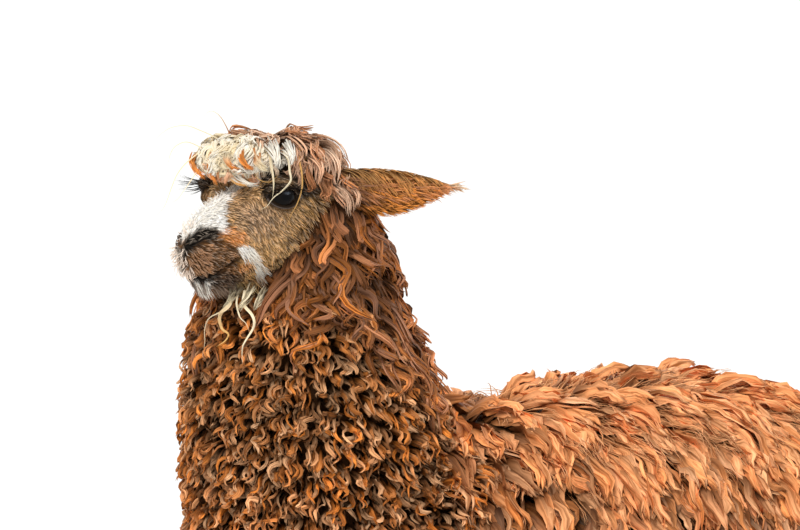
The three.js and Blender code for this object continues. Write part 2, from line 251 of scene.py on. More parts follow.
def leg_skin(leg, side, low, high, count):
    """Rings up a leg between two heights: ellipses round its axis less the hair's depth,
    with the joint and the fetlock left a little knobbly by a bump at each."""
    t, angle = stations(count, 40)
    z = low + (high - low) * t
    wool = through(leg_wool, z)
    knob = 2.5 * np.exp(-(((z - leg["joint"] + 8) / 22) ** 2)) + 2 * np.exp(
        -(((z - FETLOCK_Z) / 16) ** 2)
    )
    end = rounded(t, 0.03, 0.1, 2)
    x, y = superellipse(
        (through(leg["across"], z) - wool + knob) * end,
        (through(leg["deep"], z) - wool + knob) * end,
        angle,
        2,
    )
    x = side * (through(leg["x"], z) + x)
    return np.stack([x, through(leg["y"], z) + y, z + 0 * angle], -1)


def tail_skin():
    """Rings down the tail, an ellipse that is fullest a quarter of the way down."""
    t, angle = stations(40, 32)
    size = rounded(t, 0.25, 0.6, 2.1)
    x, y = superellipse(
        np.maximum(42 * size - WOOL_TAIL, 1), np.maximum(26 * size - WOOL_TAIL, 1), angle, 2
    )
    swing = 36 * np.sin(0.5 * np.pi * np.minimum(1, 1.7 * t))
    z = BACK_Z - 92 - 190 * t
    return np.stack([x, RUMP_Y - 34 + swing - 6 + y, z + WOOL_TAIL * t + 0 * angle], -1)


def remeshed(parts, voxel, smoothing):
    """One surface round all the parts: a voxel remesh of their union, then smoothed."""
    points, faces = joined(parts)
    rough = mesh_object("rough", points * MM, faces)
    remesh = rough.modifiers.new("union", "REMESH")
    remesh.mode = "VOXEL"
    remesh.voxel_size = voxel * MM
    smooth = rough.modifiers.new("smooth", "SMOOTH")
    smooth.factor = 0.5
    smooth.iterations = smoothing
    triangles = rough.modifiers.new("triangles", "TRIANGULATE")
    triangles.min_vertices = 4
    mesh = rough.evaluated_get(bpy.context.evaluated_depsgraph_get()).to_mesh()
    co = np.empty(3 * len(mesh.vertices), np.float32)
    mesh.vertices.foreach_get("co", co)
    corner = np.empty(3 * len(mesh.polygons), np.int32)
    mesh.polygons.foreach_get("vertices", corner)
    bpy.data.objects.remove(rough)
    return co.reshape(-1, 3).astype(float) / MM, corner.reshape(-1, 3)


# ======================================================================================
# Skin of the head. Thin hide over the skull: lips closed round the mouth, slit nostrils,
# cheek muscle, facial crest, and a bony socket raised round each eye. It is one grid of
# rings from the nose back, worked out with the nose at the origin, then turned into place.
# ======================================================================================
HEAD_TURN = math.radians(12)  # the head looks a little to the animal's left
TURN_Y = -340
NOSE_Y = -519
NOSE_Z = JAW_Z + 62
HEAD_BACK = 230


def on_head(points):
    """World place of points given with the nose at the origin: moved back to the neck's
    axis, turned about it, and raised to the nose's height."""
    x, y, z = np.moveaxis(np.asarray(points, float), -1, 0)
    y = y + NOSE_Y - TURN_Y
    c, s = math.cos(HEAD_TURN), math.sin(HEAD_TURN)
    return np.stack([c * x - s * y, TURN_Y + s * x + c * y, NOSE_Z + z], -1)


def from_head(points):
    """The opposite of on_head: a world place as seen from the nose."""
    x, y, z = np.moveaxis(np.asarray(points, float), -1, 0)
    c, s = math.cos(HEAD_TURN), math.sin(HEAD_TURN)
    y = y - TURN_Y
    return np.stack([c * x + s * y, -s * x + c * y - NOSE_Y + TURN_Y, z - NOSE_Z], -1)


# the skull's profile: heights of its top, widest place and jaw, and half its width
crown_line = [
    (0, 6), (12, 15), (36, 31), (67, 48), (94, 64), (125, 84), (165, 92), (HEAD_BACK, 76),
]
wide_line = [(0, -14), (40, -12), (70, 2), (100, 20), (150, 24), (HEAD_BACK, 16)]
jaw_line = [
    (0, -34), (14, -45), (32, -55), (75, -57), (120, -60), (155, -62), (HEAD_BACK, -30),
]
cheek_half = [
    (0, 21), (18, 30), (45, 36), (70, 43), (98, 60), (140, 69), (180, 73), (HEAD_BACK, 62),
]
mouth_line = [(0, -35), (5, -42), (15, -39), (27, -33), (45, -22), (54, -17)]
# hair and skin over the skull, from the nose back: short on the muzzle, deep at the crown
face_hair = [(0, 2), (40, 2.5), (80, 3.5), (110, 5), (150, 9), (HEAD_BACK, 14)]

eye_low, eye_high = (1000 * np.array(corner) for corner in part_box("eye_left"))
EYE = from_head((eye_low + eye_high) / 2)
EYE_RADIUS = (eye_high[2] - eye_low[2]) / 2
GAZE = np.array([0.95, -0.24, -0.10]) / np.linalg.norm([0.95, -0.24, -0.10])
EYE_ACROSS = np.cross([0, 0, 1], GAZE) / np.linalg.norm(np.cross([0, 0, 1], GAZE))
EYE_UP = np.cross(GAZE, EYE_ACROSS)
LID_WIDE, LID_HIGH, LID_LOW = math.radians(62), math.radians(28), math.radians(31)


def skull_rings(caps, rings, sides, inward):
    """Rings from nose to nape: superellipses, squarer above the widest line than below,
    evenly spaced along the middle and evenly turned round both rounded ends. `inward`
    makes every ring smaller."""
    first, last, blunt = 0.11, 0.12, 2.4
    turn = (np.arange(caps) + 0.35) / caps * np.pi / 2
    nose = first * (1 - np.cos(turn) ** (2 / blunt))
    nape = 1 - last * (1 - np.cos(turn[::-2]) ** (2 / blunt))
    t = np.concatenate([nose, np.linspace(first, 1 - last, rings), nape])[:, None]
    angle = (2 * np.pi * (np.arange(sides) + 0.5) / sides)[None, :]
    y = HEAD_BACK * t
    size = rounded(t, first, last, blunt)
    wide = through(wide_line, y)
    x_above, z_above = superellipse(1, 1, angle, 2.2)
    x_below, z_below = superellipse(1, 1, angle, 1.9)
    above = np.sin(angle) > 0
    hair = through(face_hair, y) + inward
    height = np.where(above, through(crown_line, y) - wide, wide - through(jaw_line, y)) * size
    thick = np.where(above, hair * (1 + 0.9 * np.clip((y - 60) / 40, 0, 1)), hair)
    x = np.maximum(through(cheek_half, y) * size - hair, 0.5) * np.where(above, x_above, x_below)
    z = wide + np.maximum(height - thick, 0.5) * np.where(above, z_above, z_below)
    return np.stack([x, y + hair * (1 - 2 * t) + 0 * angle, z], -1)


def ring_normals(points):
    """Outward normals of a grid of rings, from the slopes along and round it."""
    along = np.gradient(points, axis=0)
    around = np.roll(points, -1, 1) - np.roll(points, 1, 1)
    n = np.cross(around, along)
    n /= np.linalg.norm(n, axis=-1, keepdims=True) + 1e-9
    middle = points.mean(1, keepdims=True)
    out = np.sum(n * (points - middle), -1).mean()
    return n if out > 0 else -n


def near_segment(p, start, end):
    """Distance of points from a segment, and the share of its length where they lie."""
    start, end = np.array(start, float), np.array(end, float)
    along = end - start
    share = np.clip(((p - start) @ along) / (along @ along), 0, 1)
    return np.linalg.norm(p - start - share[..., None] * along, axis=-1), share


def hump(value, width):
    """Bell curve: 1 at 0, falling off over `width`."""
    return np.exp(-((value / width) ** 2))


def eased(low, high, value):
    """0 below `low`, 1 above `high`, with a smooth S between."""
    t = np.clip((value - low) / (high - low), 0, 1)
    return t * t * (3 - 2 * t)


NOSTRIL = ((8, 2.5, -3), (23.5, 20, 9))  # a slit from beside the philtrum up and back


def face_relief(p):
    """Height of the face's forms over the plain skull, in mm: the sum of soft bells and
    grooves, each laid on a point, a line or the line of the lips."""
    x, y, z = np.abs(p[..., 0]), p[..., 1], p[..., 2]
    one_side = np.stack([x, y, z], -1)
    slit, share = near_segment(one_side, *NOSTRIL)
    relief = -6.0 * hump(slit, 1.6 + 0.9 * share) + 1.6 * hump(slit - 5, 3) * (1 - share**3)
    relief -= 2.4 * hump(x, 1.5) * eased(13, 8, y) * hump(z + 20, 15)  # philtrum
    lips = z - through(mouth_line, y)
    closed = eased(60, 46, y)
    relief += closed * (
        -5 * hump(lips, 1.7) + 2.2 * hump(lips - 6.5, 4.5) + 1.6 * hump(lips + 5.5, 3.5)
    )
    relief += 2.0 * hump(y - 17, 9) * hump(z + 48, 8)  # chin
    relief -= 2.0 * hump(y - 36, 12) * hump(z + 44, 9)  # hollow behind the chin
    relief += 4.5 * hump(y - 148, 32) * hump(z + 4, 26)  # cheek muscle
    crest, ahead = near_segment(one_side, (60, 97, 18), (34, 44, -2))
    relief += 2.6 * hump(crest, 9) * eased(1, 0.5, ahead) * (x > 15)
    relief -= 4.0 * hump(y - 68, 16) * hump(z - 30, 10) * eased(12, 26, x)  # before the eye
    relief -= 2.2 * hump(y - 46, 13) * hump(z - 16, 8) * eased(10, 24, x)  # beside the bridge
    relief += 1.6 * hump(x, 9) * hump(y - 45, 34) * eased(0, 12, z)  # bony bridge
    socket = hump(y - EYE[1], 29) * hump(z - EYE[2] - 9, 22)
    relief += (EYE_RADIUS - 0.5) * socket * eased(12, 32, x)
    return relief


def lid_place(p):
    """Place of points in an eye's opening, seen from its centre: 1 on the lids' edge, less
    inside. The opening is an almond, its corners drawn out: the share m for which
    (across / m)^2 + (up / m)^1.5 is 1. Also gives distance and direction from the centre."""
    ray = np.stack([np.abs(p[..., 0]), p[..., 1], p[..., 2]], -1) - EYE
    far = np.linalg.norm(ray, axis=-1)
    ray = ray / far[..., None]
    across = np.arctan2(ray @ EYE_ACROSS, ray @ GAZE)
    up = np.arcsin(np.clip(ray @ EYE_UP, -1, 1))
    high = np.where(up > 0, LID_HIGH, LID_LOW)
    m = np.ones_like(far)
    for _ in range(8):
        reach = (across / (m * LID_WIDE)) ** 2 + (np.abs(up) / (m * high)) ** 1.5
        m = m * np.maximum(reach, 1e-4) ** (1 / 1.8)
    return m, far, ray


def head_skin():
    """The skull's rings with the face's relief, pushed into the ball under each eye's
    opening and drawn up to the lids around it."""
    p = skull_rings(caps=44, rings=128, sides=176, inward=0)
    p = p + face_relief(p)[..., None] * ring_normals(p)
    m, far, ray = lid_place(p)
    lid = EYE_RADIUS + 2.4
    clear = 0.5 * (far + lid + np.sqrt((far - lid) ** 2 + 12)) - 1.7  # stays over the ball
    wanted = np.where(m < 1.12, EYE_RADIUS - 4.0, lid + (clear - lid) * eased(1.12, 2.2, m))
    ahead = (ray @ GAZE > -0.2) & (far < EYE_RADIUS + 22) & (np.abs(p[..., 0]) > 12)
    moved = EYE + ray * wanted[..., None]
    moved[..., 0] *= np.sign(p[..., 0])
    return np.where(ahead[..., None], moved, p)


def from_eye(across, up):
    """Direction out of the eye's centre, by angles across and up from the line of sight."""
    across, up = across[..., None], up[..., None]
    level = np.cos(across) * GAZE + np.sin(across) * EYE_ACROSS
    return np.cos(up) * level + np.sin(up) * EYE_UP


def lid_ring(side):
    """A lid's rim: a profile that rolls from under the rim, over it and out to the skin,
    carried round the almond of the opening."""
    profile = np.array(
        [(0.86, -2.5), (0.93, -1.2), (1.0, 0.15), (1.03, 1.3), (1.09, 2.3), (1.18, 2.9),
         (1.28, 2.6), (1.42, 1.0), (1.42, -3.0)]
    )
    fine = np.linspace(0, len(profile) - 1, 22)
    m = np.interp(fine, np.arange(len(profile)), profile[:, 0])[None, :]
    high = np.interp(fine, np.arange(len(profile)), profile[:, 1])[None, :]
    turn = (2 * np.pi * np.arange(120) / 120)[:, None]
    upper = eased(-0.1, 0.5, np.sin(turn))
    high = high + 1.5 * upper * hump(m - 1.14, 0.1) - 1.0 * upper * hump(m - 1.3, 0.05)
    across = LID_WIDE * m * np.cos(turn)
    up = m * np.sign(np.sin(turn)) * np.abs(np.sin(turn)) ** 1.33
    up = up * np.where(np.sin(turn) > 0, LID_HIGH, LID_LOW)
    p = EYE + from_eye(across, up) * (EYE_RADIUS + high)[..., None]
    return p * np.array([side, 1, 1])


def tube(points):
    """Closed surface over a grid that joins up both ways: quads split in two."""
    rings, sides = points.shape[:2]
    k = np.arange(rings * sides).reshape(rings, sides)
    a, b = k, np.roll(k, -1, 1)
    c, d = np.roll(k, -1, 0), np.roll(np.roll(k, -1, 0), -1, 1)
    return points.reshape(-1, 3), np.stack([a, b, c, b, d, c], -1).reshape(-1, 3)


# each ear is a leaf of thin hide, hollowed on its outer side, and laid back level
EAR_ROOT, EAR_OUT, EAR_DROOP = np.array([52, 170, 51]), math.radians(17), math.radians(3)
EAR_HALF, EAR_LENGTH = 28, 148
EAR_THICK, EAR_THIN = 8.6, 2.6  # half the blade's thickness at root and tip
EAR_SKIN = 1.5  # how far the hide lies under the hair's outside


def ear_leaf(side, t, angle, inward):
    """Point of an ear at share t of its length and an angle round its section, `inward`
    under its outer face: a flat superellipse whose width narrows to root and tip, bent to
    a trough, then drooped, turned out and set on the head."""
    wide = EAR_HALF * (1 - 0.42 * (1 - t) ** 3) * np.maximum(0, 1 - t**3) ** 1.1 + 0.8
    thick = EAR_THICK + (EAR_THIN - EAR_THICK) * t
    across, out = superellipse(
        np.maximum(wide - inward, 0.6), np.maximum(thick - inward, 0.5), angle, 2.2
    )
    trough = 9 * (across / EAR_HALF) ** 2 * (1 - 0.4 * t)
    x, z = out + trough, across - 6 * np.sin(np.pi * t)
    y = EAR_LENGTH * t - inward * t + 0 * angle
    c, s = math.cos(EAR_DROOP), -math.sin(EAR_DROOP)
    y, z = c * y - s * z, s * y + c * z
    c, s = math.cos(EAR_OUT), -math.sin(EAR_OUT)
    x, y = c * x - s * y, s * x + c * y
    return on_head(np.stack([side * x, y, z], -1) + EAR_ROOT * np.array([side, 1, 1]))


def felted(radii, middle, tilt):
    """The felted pad under the topknot: an ellipsoid of rings, tilted nose up."""
    turn = (np.pi * (np.arange(30) + 0.5) / 30)[:, None]
    angle = (2 * np.pi * np.arange(40) / 40)[None, :]
    x = radii[0] * np.sin(turn) * np.cos(angle)
    y = radii[1] * np.cos(turn) + 0 * angle
    z = radii[2] * np.sin(turn) * np.sin(angle)
    c, s = math.cos(tilt), math.sin(tilt)
    return on_head(np.stack([x, c * y - s * z, s * y + c * z], -1) + np.array(middle))


crown_pad = felted(radii=(54, 66, 27), middle=(0, 134, 70), tilt=-0.12)
brow_pad = felted(radii=(44, 30, 17), middle=(-6, 80, 83), tilt=0.22)
inner_skull = on_head(skull_rings(caps=10, rings=30, sides=48, inward=5))
body_forms = [trunk_skin(), neck_skin(), tail_skin(), inner_skull, crown_pad, brow_pad]
body_forms += [
    leg_skin(leg, side, low=60, high=leg["top"], count=70)
    for leg in legs.values() for side in (1, -1)
]
body_points, body_faces = remeshed([loft(form) for form in body_forms], voxel=8.4, smoothing=7)


def toe_pad(x, heel):
    """A toe: rings of a superellipsoid loaf, from heel to tip, cut flat on the floor."""
    t, angle = stations(24, 24)
    size = rounded(t, 0.5, 0.5, 2.1)
    across, up = superellipse(13.5 * size, 23 * size, angle, 2.1)
    z = np.maximum(17 + up, 0.2)
    return np.stack([x + across, heel + 10.5 - 59 * t + 0 * angle, z], -1)


foot_parts = []
for leg in legs.values():
    for side in (1, -1):
        foot_parts.append(loft(leg_skin(leg, side, low=9, high=95, count=30)))
        for shift in (-16, 16):
            foot_parts.append(loft(toe_pad(side * (leg["toes"][0] + shift), leg["toes"][1])))
foot_points, foot_faces = remeshed(foot_parts, voxel=3.2, smoothing=4)
skin_parts = [(body_points, body_faces), (foot_points, foot_faces), loft(on_head(head_skin()))]
skin_parts += [tube(on_head(lid_ring(side))) for side in (1, -1)]
skin_parts += [loft(ear_leaf(side, *stations(64, 48), EAR_SKIN)) for side in (1, -1)]
skin_points, skin_faces = joined(skin_parts)


# Markings, the same for hide and wool: red-brown over the neck, fox orange along the back
# and dark brown down the legs; a fawn face with a white blaze, a black nose, white on chin
# and jaw, two orange patches, and a cream forelock.
def dye(red, green, blue):
    """A colour given as it looks on a screen, made linear."""
    c = np.array([red, green, blue], float)
    return np.where(c <= 0.04045, c / 12.92, ((c + 0.055) / 1.055) ** 2.4)


NECK_BROWN, CHEST_BROWN = dye(0.67, 0.40, 0.17), dye(0.65, 0.37, 0.14)
NAPE_RED, FLANK_ORANGE = dye(0.87, 0.56, 0.35), dye(0.76, 0.47, 0.24)
BACK_ORANGE, BELLY_BROWN = dye(0.98, 0.68, 0.45), dye(0.72, 0.46, 0.27)
LEG_BROWN, SHANK_BROWN = dye(0.66, 0.42, 0.25), dye(0.40, 0.26, 0.16)
FAWN, FAWN_GREY, TEAR_BROWN = dye(0.87, 0.67, 0.42), dye(0.66, 0.54, 0.44), dye(0.24, 0.15, 0.09)
CREAM, WHITE, NEAR_BLACK = dye(0.97, 0.92, 0.80), dye(0.99, 0.98, 0.95), dye(0.07, 0.06, 0.06)
PATCH_ORANGE, MUZZLE_BROWN = dye(0.90, 0.58, 0.30), dye(0.58, 0.40, 0.24)
EAR_ORANGE, EAR_DARK = dye(0.84, 0.54, 0.26), dye(0.24, 0.15, 0.09)


def mixed(base, other, share):
    """Colours `base` moved towards `other` by a share between 0 and 1."""
    return base + (other - base) * np.clip(share, 0, 1)[..., None]


def patchy(p, size, seed):
    """Smooth random value from 0 to 1 over space: a sum of nine sine waves with random
    directions, about `size` mm apart."""
    r = np.random.default_rng(seed)
    way = r.normal(size=(9, 3))
    length = np.linalg.norm(way, axis=1, keepdims=True)
    way *= (2 * np.pi / size) * r.uniform(0.6, 1.5, (9, 1)) / length
    waves = np.sin(p @ way.T + r.uniform(0, 2 * np.pi, 9))
    return np.clip(0.5 + waves.sum(-1) / 5.5, 0, 1)


def wool_colour(p):
    """Colour of the wool over the body, from the place in mm."""
    y, z = p[..., 1], p[..., 2]
    colour = mixed(NECK_BROWN, CHEST_BROWN, eased(960, 800, z))
    colour = mixed(colour, NAPE_RED, eased(-330, -230, y) * eased(900, 1000, z))
    trunk = eased(-225, -40, y + 0.25 * (z - 850) + 40 * (patchy(p, 70, 8) - 0.5))
    colour = mixed(colour, FLANK_ORANGE, trunk)
    colour = mixed(colour, BACK_ORANGE, trunk * eased(BACK_Z - 170, BACK_Z - 25, z))
    colour = mixed(colour, BELLY_BROWN, trunk * eased(700, 520, z))
    colour = mixed(colour, LEG_BROWN, eased(640, 400, z))
    colour = mixed(colour, SHANK_BROWN, eased(400, 200, z))
    throat = np.linalg.norm(from_head(p) - np.array([18, 70, -60]), axis=-1)
    throat = throat + 8 * (patchy(p, 12, 4) - 0.5)
    colour = mixed(colour, 0.8 * CREAM, 0.85 * eased(24, 13, throat))
    return colour * (0.86 + 0.28 * patchy(p, 90, 3))[..., None]


def wool_border(z):
    """How far back from the nose the short face hair gives way to wool, at a height."""
    return np.interp(z, [-62, -48, -25, 5, 20, 50], [104, 102, 95, 115, 124, 152])


def face_colour(h):
    """Colour of the face's short hair, from the place in mm as seen from the nose: marks
    laid over one another, each faded in by its distance from a point, line or border."""
    x, y, z = np.abs(h[..., 0]), h[..., 1], h[..., 2]
    right_side = h[..., 0] < 0
    one_side = np.stack([x, y, z], -1)
    ragged = 4 * (patchy(h, 13, 5) - 0.5)
    colour = mixed(FAWN, FAWN_GREY, 0.8 * hump(y - 70, 26) * hump(z - 22, 20))
    # dark skin round the eye and down from its corner, reaching further up as painted shade
    # under the brow, and a pale grey line along the lower lid
    m, _, ray = lid_place(h)
    above = eased(-0.12, 0.25, ray @ EYE_UP)
    reach = 1.3 + 0.75 * above
    dark_lid_and_shade = eased(reach + 0.3, reach - 0.2, m) * eased(30, 40, x)
    colour = mixed(colour, 0.35 * TEAR_BROWN, 0.95 * dark_lid_and_shade)
    pale_lower_rim = hump(m - 1.16, 0.045) * (1 - above) * eased(30, 40, x)
    colour = mixed(colour, dye(0.62, 0.56, 0.54), 0.8 * pale_lower_rim)
    # browner towards the wool, and painted shade under the forelock, over the brow
    rear = eased(-20, -6, y - wool_border(z) + 1.5 * ragged) * eased(-12, 4, z)
    colour = mixed(colour, dye(0.50, 0.36, 0.20), 0.75 * rear)
    brow = near_segment(one_side, (38, 90, 66), (60, 116, 66))[0]
    colour = mixed(colour, 0.35 * TEAR_BROWN, 0.95 * eased(24, 9, brow))
    # brown muzzle and dark jaw
    muzzle = eased(52, 38, y + 0.25 * z + ragged) * eased(-50, -44, z)
    colour = mixed(colour, MUZZLE_BROWN, muzzle)
    jaw = eased(-30, -42, z + ragged) * eased(6, 16, y)
    colour = mixed(colour, TEAR_BROWN + 0.02, 0.9 * jaw * eased(72, 56, y))
    colour = mixed(colour, dye(0.62, 0.52, 0.34), 0.8 * eased(-46, -54, z) * eased(58, 66, y))
    # two orange patches, and the white streak down the cheek
    orange = near_segment(one_side, (33, 34, 8), (37, 48, 3))[0]
    colour = mixed(colour, 1.25 * PATCH_ORANGE, eased(13, 6, orange + ragged))
    orange = near_segment(one_side, (37, 56, -31), (38, 72, -40))[0]
    colour = mixed(colour, 1.15 * PATCH_ORANGE, 0.9 * eased(12, 6, orange + ragged))
    flat = one_side * np.array([0.15, 1, 1])
    streak = np.minimum(
        near_segment(flat, (5, 53, -11), (6, 66, -16))[0] - 1.5,
        near_segment(flat, (6, 66, -16), (6, 98, -56))[0],
    )
    colour = mixed(colour, WHITE, eased(5.0, 2.5, streak + 0.8 * ragged) * eased(20, 28, x))
    # white blaze, wider on the right of the nose, where it runs down over the lip
    half = np.interp(
        y,
        [-5, 4, 12, 22, 32, 38, 44, 52, 62, 78, 90],
        [12, 13, 17, 22, 28, 25, 17, 11, 8, 6, 6],
    )
    half = half + 14 * right_side * eased(18, 6, y)
    top = eased(-3, 5, z - np.interp(y, [0, 12, 26, 40], [-6, 2, 8, 4]))
    colour = mixed(colour, WHITE, eased(3, -2, x - half + ragged) * top * eased(104, 92, y))
    lip = eased(-2, -9, h[..., 0] + ragged) * eased(16, 6, y) * eased(-6, -14, z)
    pale_lip = mixed(WHITE, MUZZLE_BROWN, 0.25)
    colour = mixed(colour, pale_lip, 0.9 * lip * eased(-43, -38, z))
    # black nose: a smudge over the left nostril, both slits, the pad and the philtrum
    smudge = near_segment(h, (9, 11, 11), (17, 17, 14))[0]
    colour = mixed(colour, 2.5 * NEAR_BLACK, 0.7 * eased(6, 2, smudge + ragged))
    slit = near_segment(one_side, *NOSTRIL)[0] + 4.5 * right_side
    pad = near_segment(h, (9, -1, -3), (1, -2, -13))[0] + 1
    colour = mixed(colour, NEAR_BLACK, eased(10, 5, np.minimum(slit, pad) + 0.8 * ragged))
    philtrum = hump(x, 2.2) * eased(12, 4, y) * eased(-40, -30, z) * eased(0, -8, z)
    colour = mixed(colour, NEAR_BLACK, 0.8 * philtrum)
    # black lips, and a white chin
    lips = z - through(mouth_line, y)
    lower = eased(1.5, -1, lips) * eased(-9, -4, lips) * eased(34, 20, y)
    colour = mixed(colour, NEAR_BLACK, 0.95 * lower)
    colour = mixed(colour, 1.5 * NEAR_BLACK, 0.9 * hump(lips, 3) * eased(60, 50, y))
    chin = eased(31, 23, y) * eased(-43, -47, z + ragged) * eased(24, 17, x)
    return mixed(colour, WHITE, chin)


def ear_colour(p):
    """Colour of the ears: fox orange, darker at the root, pale tips."""
    h = from_head(p)
    reach = (h[..., 1] - EAR_ROOT[1]) / EAR_LENGTH
    colour = mixed(EAR_ORANGE, EAR_DARK, 0.75 * eased(0.5, 0.0, reach))
    return mixed(colour, CREAM, 0.95 * eased(0.82, 0.95, reach))


BRIGHTEST = 0.92  # a tint's largest part: brighter ones are scaled down to it


def paint(piece, colours, strand=None):
    """Gives every point of a piece its colour, and its place along and across its lock."""
    layer = piece.data.attributes.new("tint", "FLOAT_COLOR", "POINT")
    rgba = np.ones((len(colours), 4), np.float32)
    brightest = colours.max(1, keepdims=True)
    rgba[:, :3] = np.maximum(colours, 0) * (BRIGHTEST / np.maximum(brightest, BRIGHTEST))
    layer.data.foreach_set("color", rgba.ravel())
    if strand is not None:
        layer = piece.data.attributes.new("strand", "FLOAT_VECTOR", "POINT")
        layer.data.foreach_set("vector", np.ascontiguousarray(strand, np.float32).ravel())


def set_inputs(node, values):
    """Sets a shader node's inputs; an underscore stands for a gap in an input's name."""
    for name, value in values.items():
        node.inputs[name.replace("_", " ")].default_value = value
    return node


def added(tree, kind, **values):
    """A new node of a shader, with its inputs set."""
    return set_inputs(tree.nodes.new("ShaderNode" + kind), values)


def linked(tree, *wires):
    """Joins nodes by wires, each given as a node and its output, a node and its input."""
    for start, output, end, entry in wires:
        tree.links.new(start.outputs[output], end.inputs[entry])


def new_material(name, **values):
    """A new material, its tree of nodes, and its surface shader with its inputs set."""
    made = bpy.data.materials.new(name)
    made.use_nodes = True
    return made, made.node_tree, set_inputs(made.node_tree.nodes["Principled BSDF"], values)


def hair_material(name, roughness, dark, light, fine, bump, gloss):
    """A hair finish: the piece's own tint times two colours, `dark` and `light`, streaked
    along each lock by a stretched noise that also lifts fine ridges, with a warm gloss."""
    made, tree, shader = new_material(
        name, Roughness=roughness, Specular_IOR_Level=gloss, Specular_Tint=(1.0, 0.78, 0.62, 1)
    )
    tint, strand = added(tree, "Attribute"), added(tree, "Attribute")
    tint.attribute_name, strand.attribute_name = "tint", "strand"
    stretch = added(tree, "Mapping", Scale=fine)
    noise = added(tree, "TexNoise", Scale=1.0, Detail=3.0, Roughness=0.6)
    streak = added(tree, "ValToRGB")
    for stop, place, colour in zip(streak.color_ramp.elements, (0.32, 0.68), (dark, light)):
        stop.position, stop.color = place, (*colour, 1)
    dyed = added(tree, "Mix")
    dyed.data_type, dyed.blend_type, dyed.clamp_result = "RGBA", "MULTIPLY", False
    share, first, second, result = 0, 6, 7, 2  # where its colour sockets stand
    dyed.inputs[share].default_value = 1.0
    ridge = added(tree, "Bump", Strength=bump, Distance=0.001)
    linked(
        tree, (strand, "Vector", stretch, "Vector"), (stretch, "Vector", noise, "Vector"),
        (noise, "Fac", streak, "Fac"), (tint, "Color", dyed, first),
        (streak, "Color", dyed, second), (dyed, result, shader, "Base Color"),
        (noise, "Fac", ridge, "Height"), (ridge, "Normal", shader, "Normal"),
    )
    return made


def skin_colour(p):
    """The hide's colour: the hair's over the face, darker where the hair is not white, a
    third as bright on the ears, and a tenth as bright under wool. The darkening under the
    face's hair and under wool is painted shade, for the gaps between the hairs."""
    h = from_head(p)
    x, y, z = np.abs(h[..., 0]), h[..., 1], h[..., 2]
    face = eased(4, -4, y - wool_border(z)) * eased(-64, -58, z)
    fair = face_colour(h)
    # painted shade: face skin darker under darker hair and brown under the jaw, and body skin a
    # tenth as bright as the wool over it, so the gaps between hairs look shaded
    fair = fair * np.clip(0.25 + 0.85 * fair.mean(-1, keepdims=True), 0, 1)
    fair = mixed(fair, 0.2 * BELLY_BROWN, eased(-26, -34, z) * eased(52, 62, y))
    colour = mixed(0.1 * wool_colour(p), fair, face)
    ear = eased(0, 6, y - EAR_ROOT[1] - 4) * (x > 45) * (z > 0)
    return mixed(colour, 0.35 * ear_colour(p), ear)


skin = mesh_object("skin", skin_points * MM, skin_faces)
paint(skin, skin_colour(skin_points), from_head(skin_points))
hide = hair_material(
    "hide", roughness=0.6, dark=(0.75, 0.72, 0.7), light=(1.25, 1.25, 1.25), fine=(0.5, 0.5, 0.5),
    bump=0.5, gloss=0.15,
)
skin.data.materials.append(hide)
flesh = ["head", "neck", "trunk", "tail", "ear_left", "ear_right"]
flesh += [
    end + "_" + word + "_" + part
    for end in legs for word in ("left", "right") for part in ("upper_leg", "lower_leg", "foot")
]
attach(skin, "root")
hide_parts(*flesh)

# ======================================================================================
# Wool of the neck. Below the jaw it hangs in long wavy locks, wet and drawn to points;
# lower down it is a deep mass of tight crimped curls with dark gaps between the rolls.
# Each lock is a thin closed blade of wool fibres that grows from the hide and lies down it.
# ======================================================================================
def surface_map(points, normals, cell, reach):
    """Finds the surface near any place: the surface's points are dropped into a lattice of
    cells, and cell by cell outwards each takes the point nearest to its middle. Gives a
    function from places to the foot on the surface, the normal there and the height."""
    low = points.min(0) - (reach + 1.5) * cell
    size = np.ceil((points.max(0) - low) / cell + reach + 1.5).astype(int)
    nearest = np.full(size, -1, np.int32)
    at = ((points - low) / cell).astype(int)
    nearest[at[:, 0], at[:, 1], at[:, 2]] = np.arange(len(points))
    axes = [low[k] + (np.arange(size[k]) + 0.5) * cell for k in range(3)]
    middle = np.stack(np.meshgrid(*axes, indexing="ij"), -1)
    gap = np.where(nearest < 0, 1e9, np.linalg.norm(middle - points[nearest], axis=-1))
    for _ in range(reach):
        for axis in range(3):
            for step in (1, -1):
                offered = np.roll(nearest, step, axis)
                known = offered >= 0
                far = np.full(size, 1e9)
                far[known] = np.linalg.norm(middle[known] - points[offered[known]], axis=-1)
                closer = far < gap
                nearest[closer], gap[closer] = offered[closer], far[closer]

    def foot(p):
        """Foot, normal and height of places, from the point kept in each one's cell."""
        cells = np.clip(((p - low) / cell).astype(int), 0, size - 1)
        k = nearest[cells[..., 0], cells[..., 1], cells[..., 2]]
        n = normals[k]
        height = np.sum((p - points[k]) * n, -1)
        return p - height[..., None] * n, n, height

    return foot


def corner_normals(points, faces, rounds):
    """Normals of a surface's points: the faces' area vectors summed at each corner, then
    evened out with the neighbours' a number of rounds."""
    a, b, c = points[faces[:, 0]], points[faces[:, 1]], points[faces[:, 2]]
    area = np.cross(b - a, c - a)
    for _ in range(rounds + 1):
        n = np.zeros_like(points)
        for k in range(3):
            for axis in range(3):
                n[:, axis] += np.bincount(faces[:, k], area[:, axis], len(points))
        n /= np.linalg.norm(n, axis=1, keepdims=True) + 1e-12
        area = n[faces].sum(1)
    return n


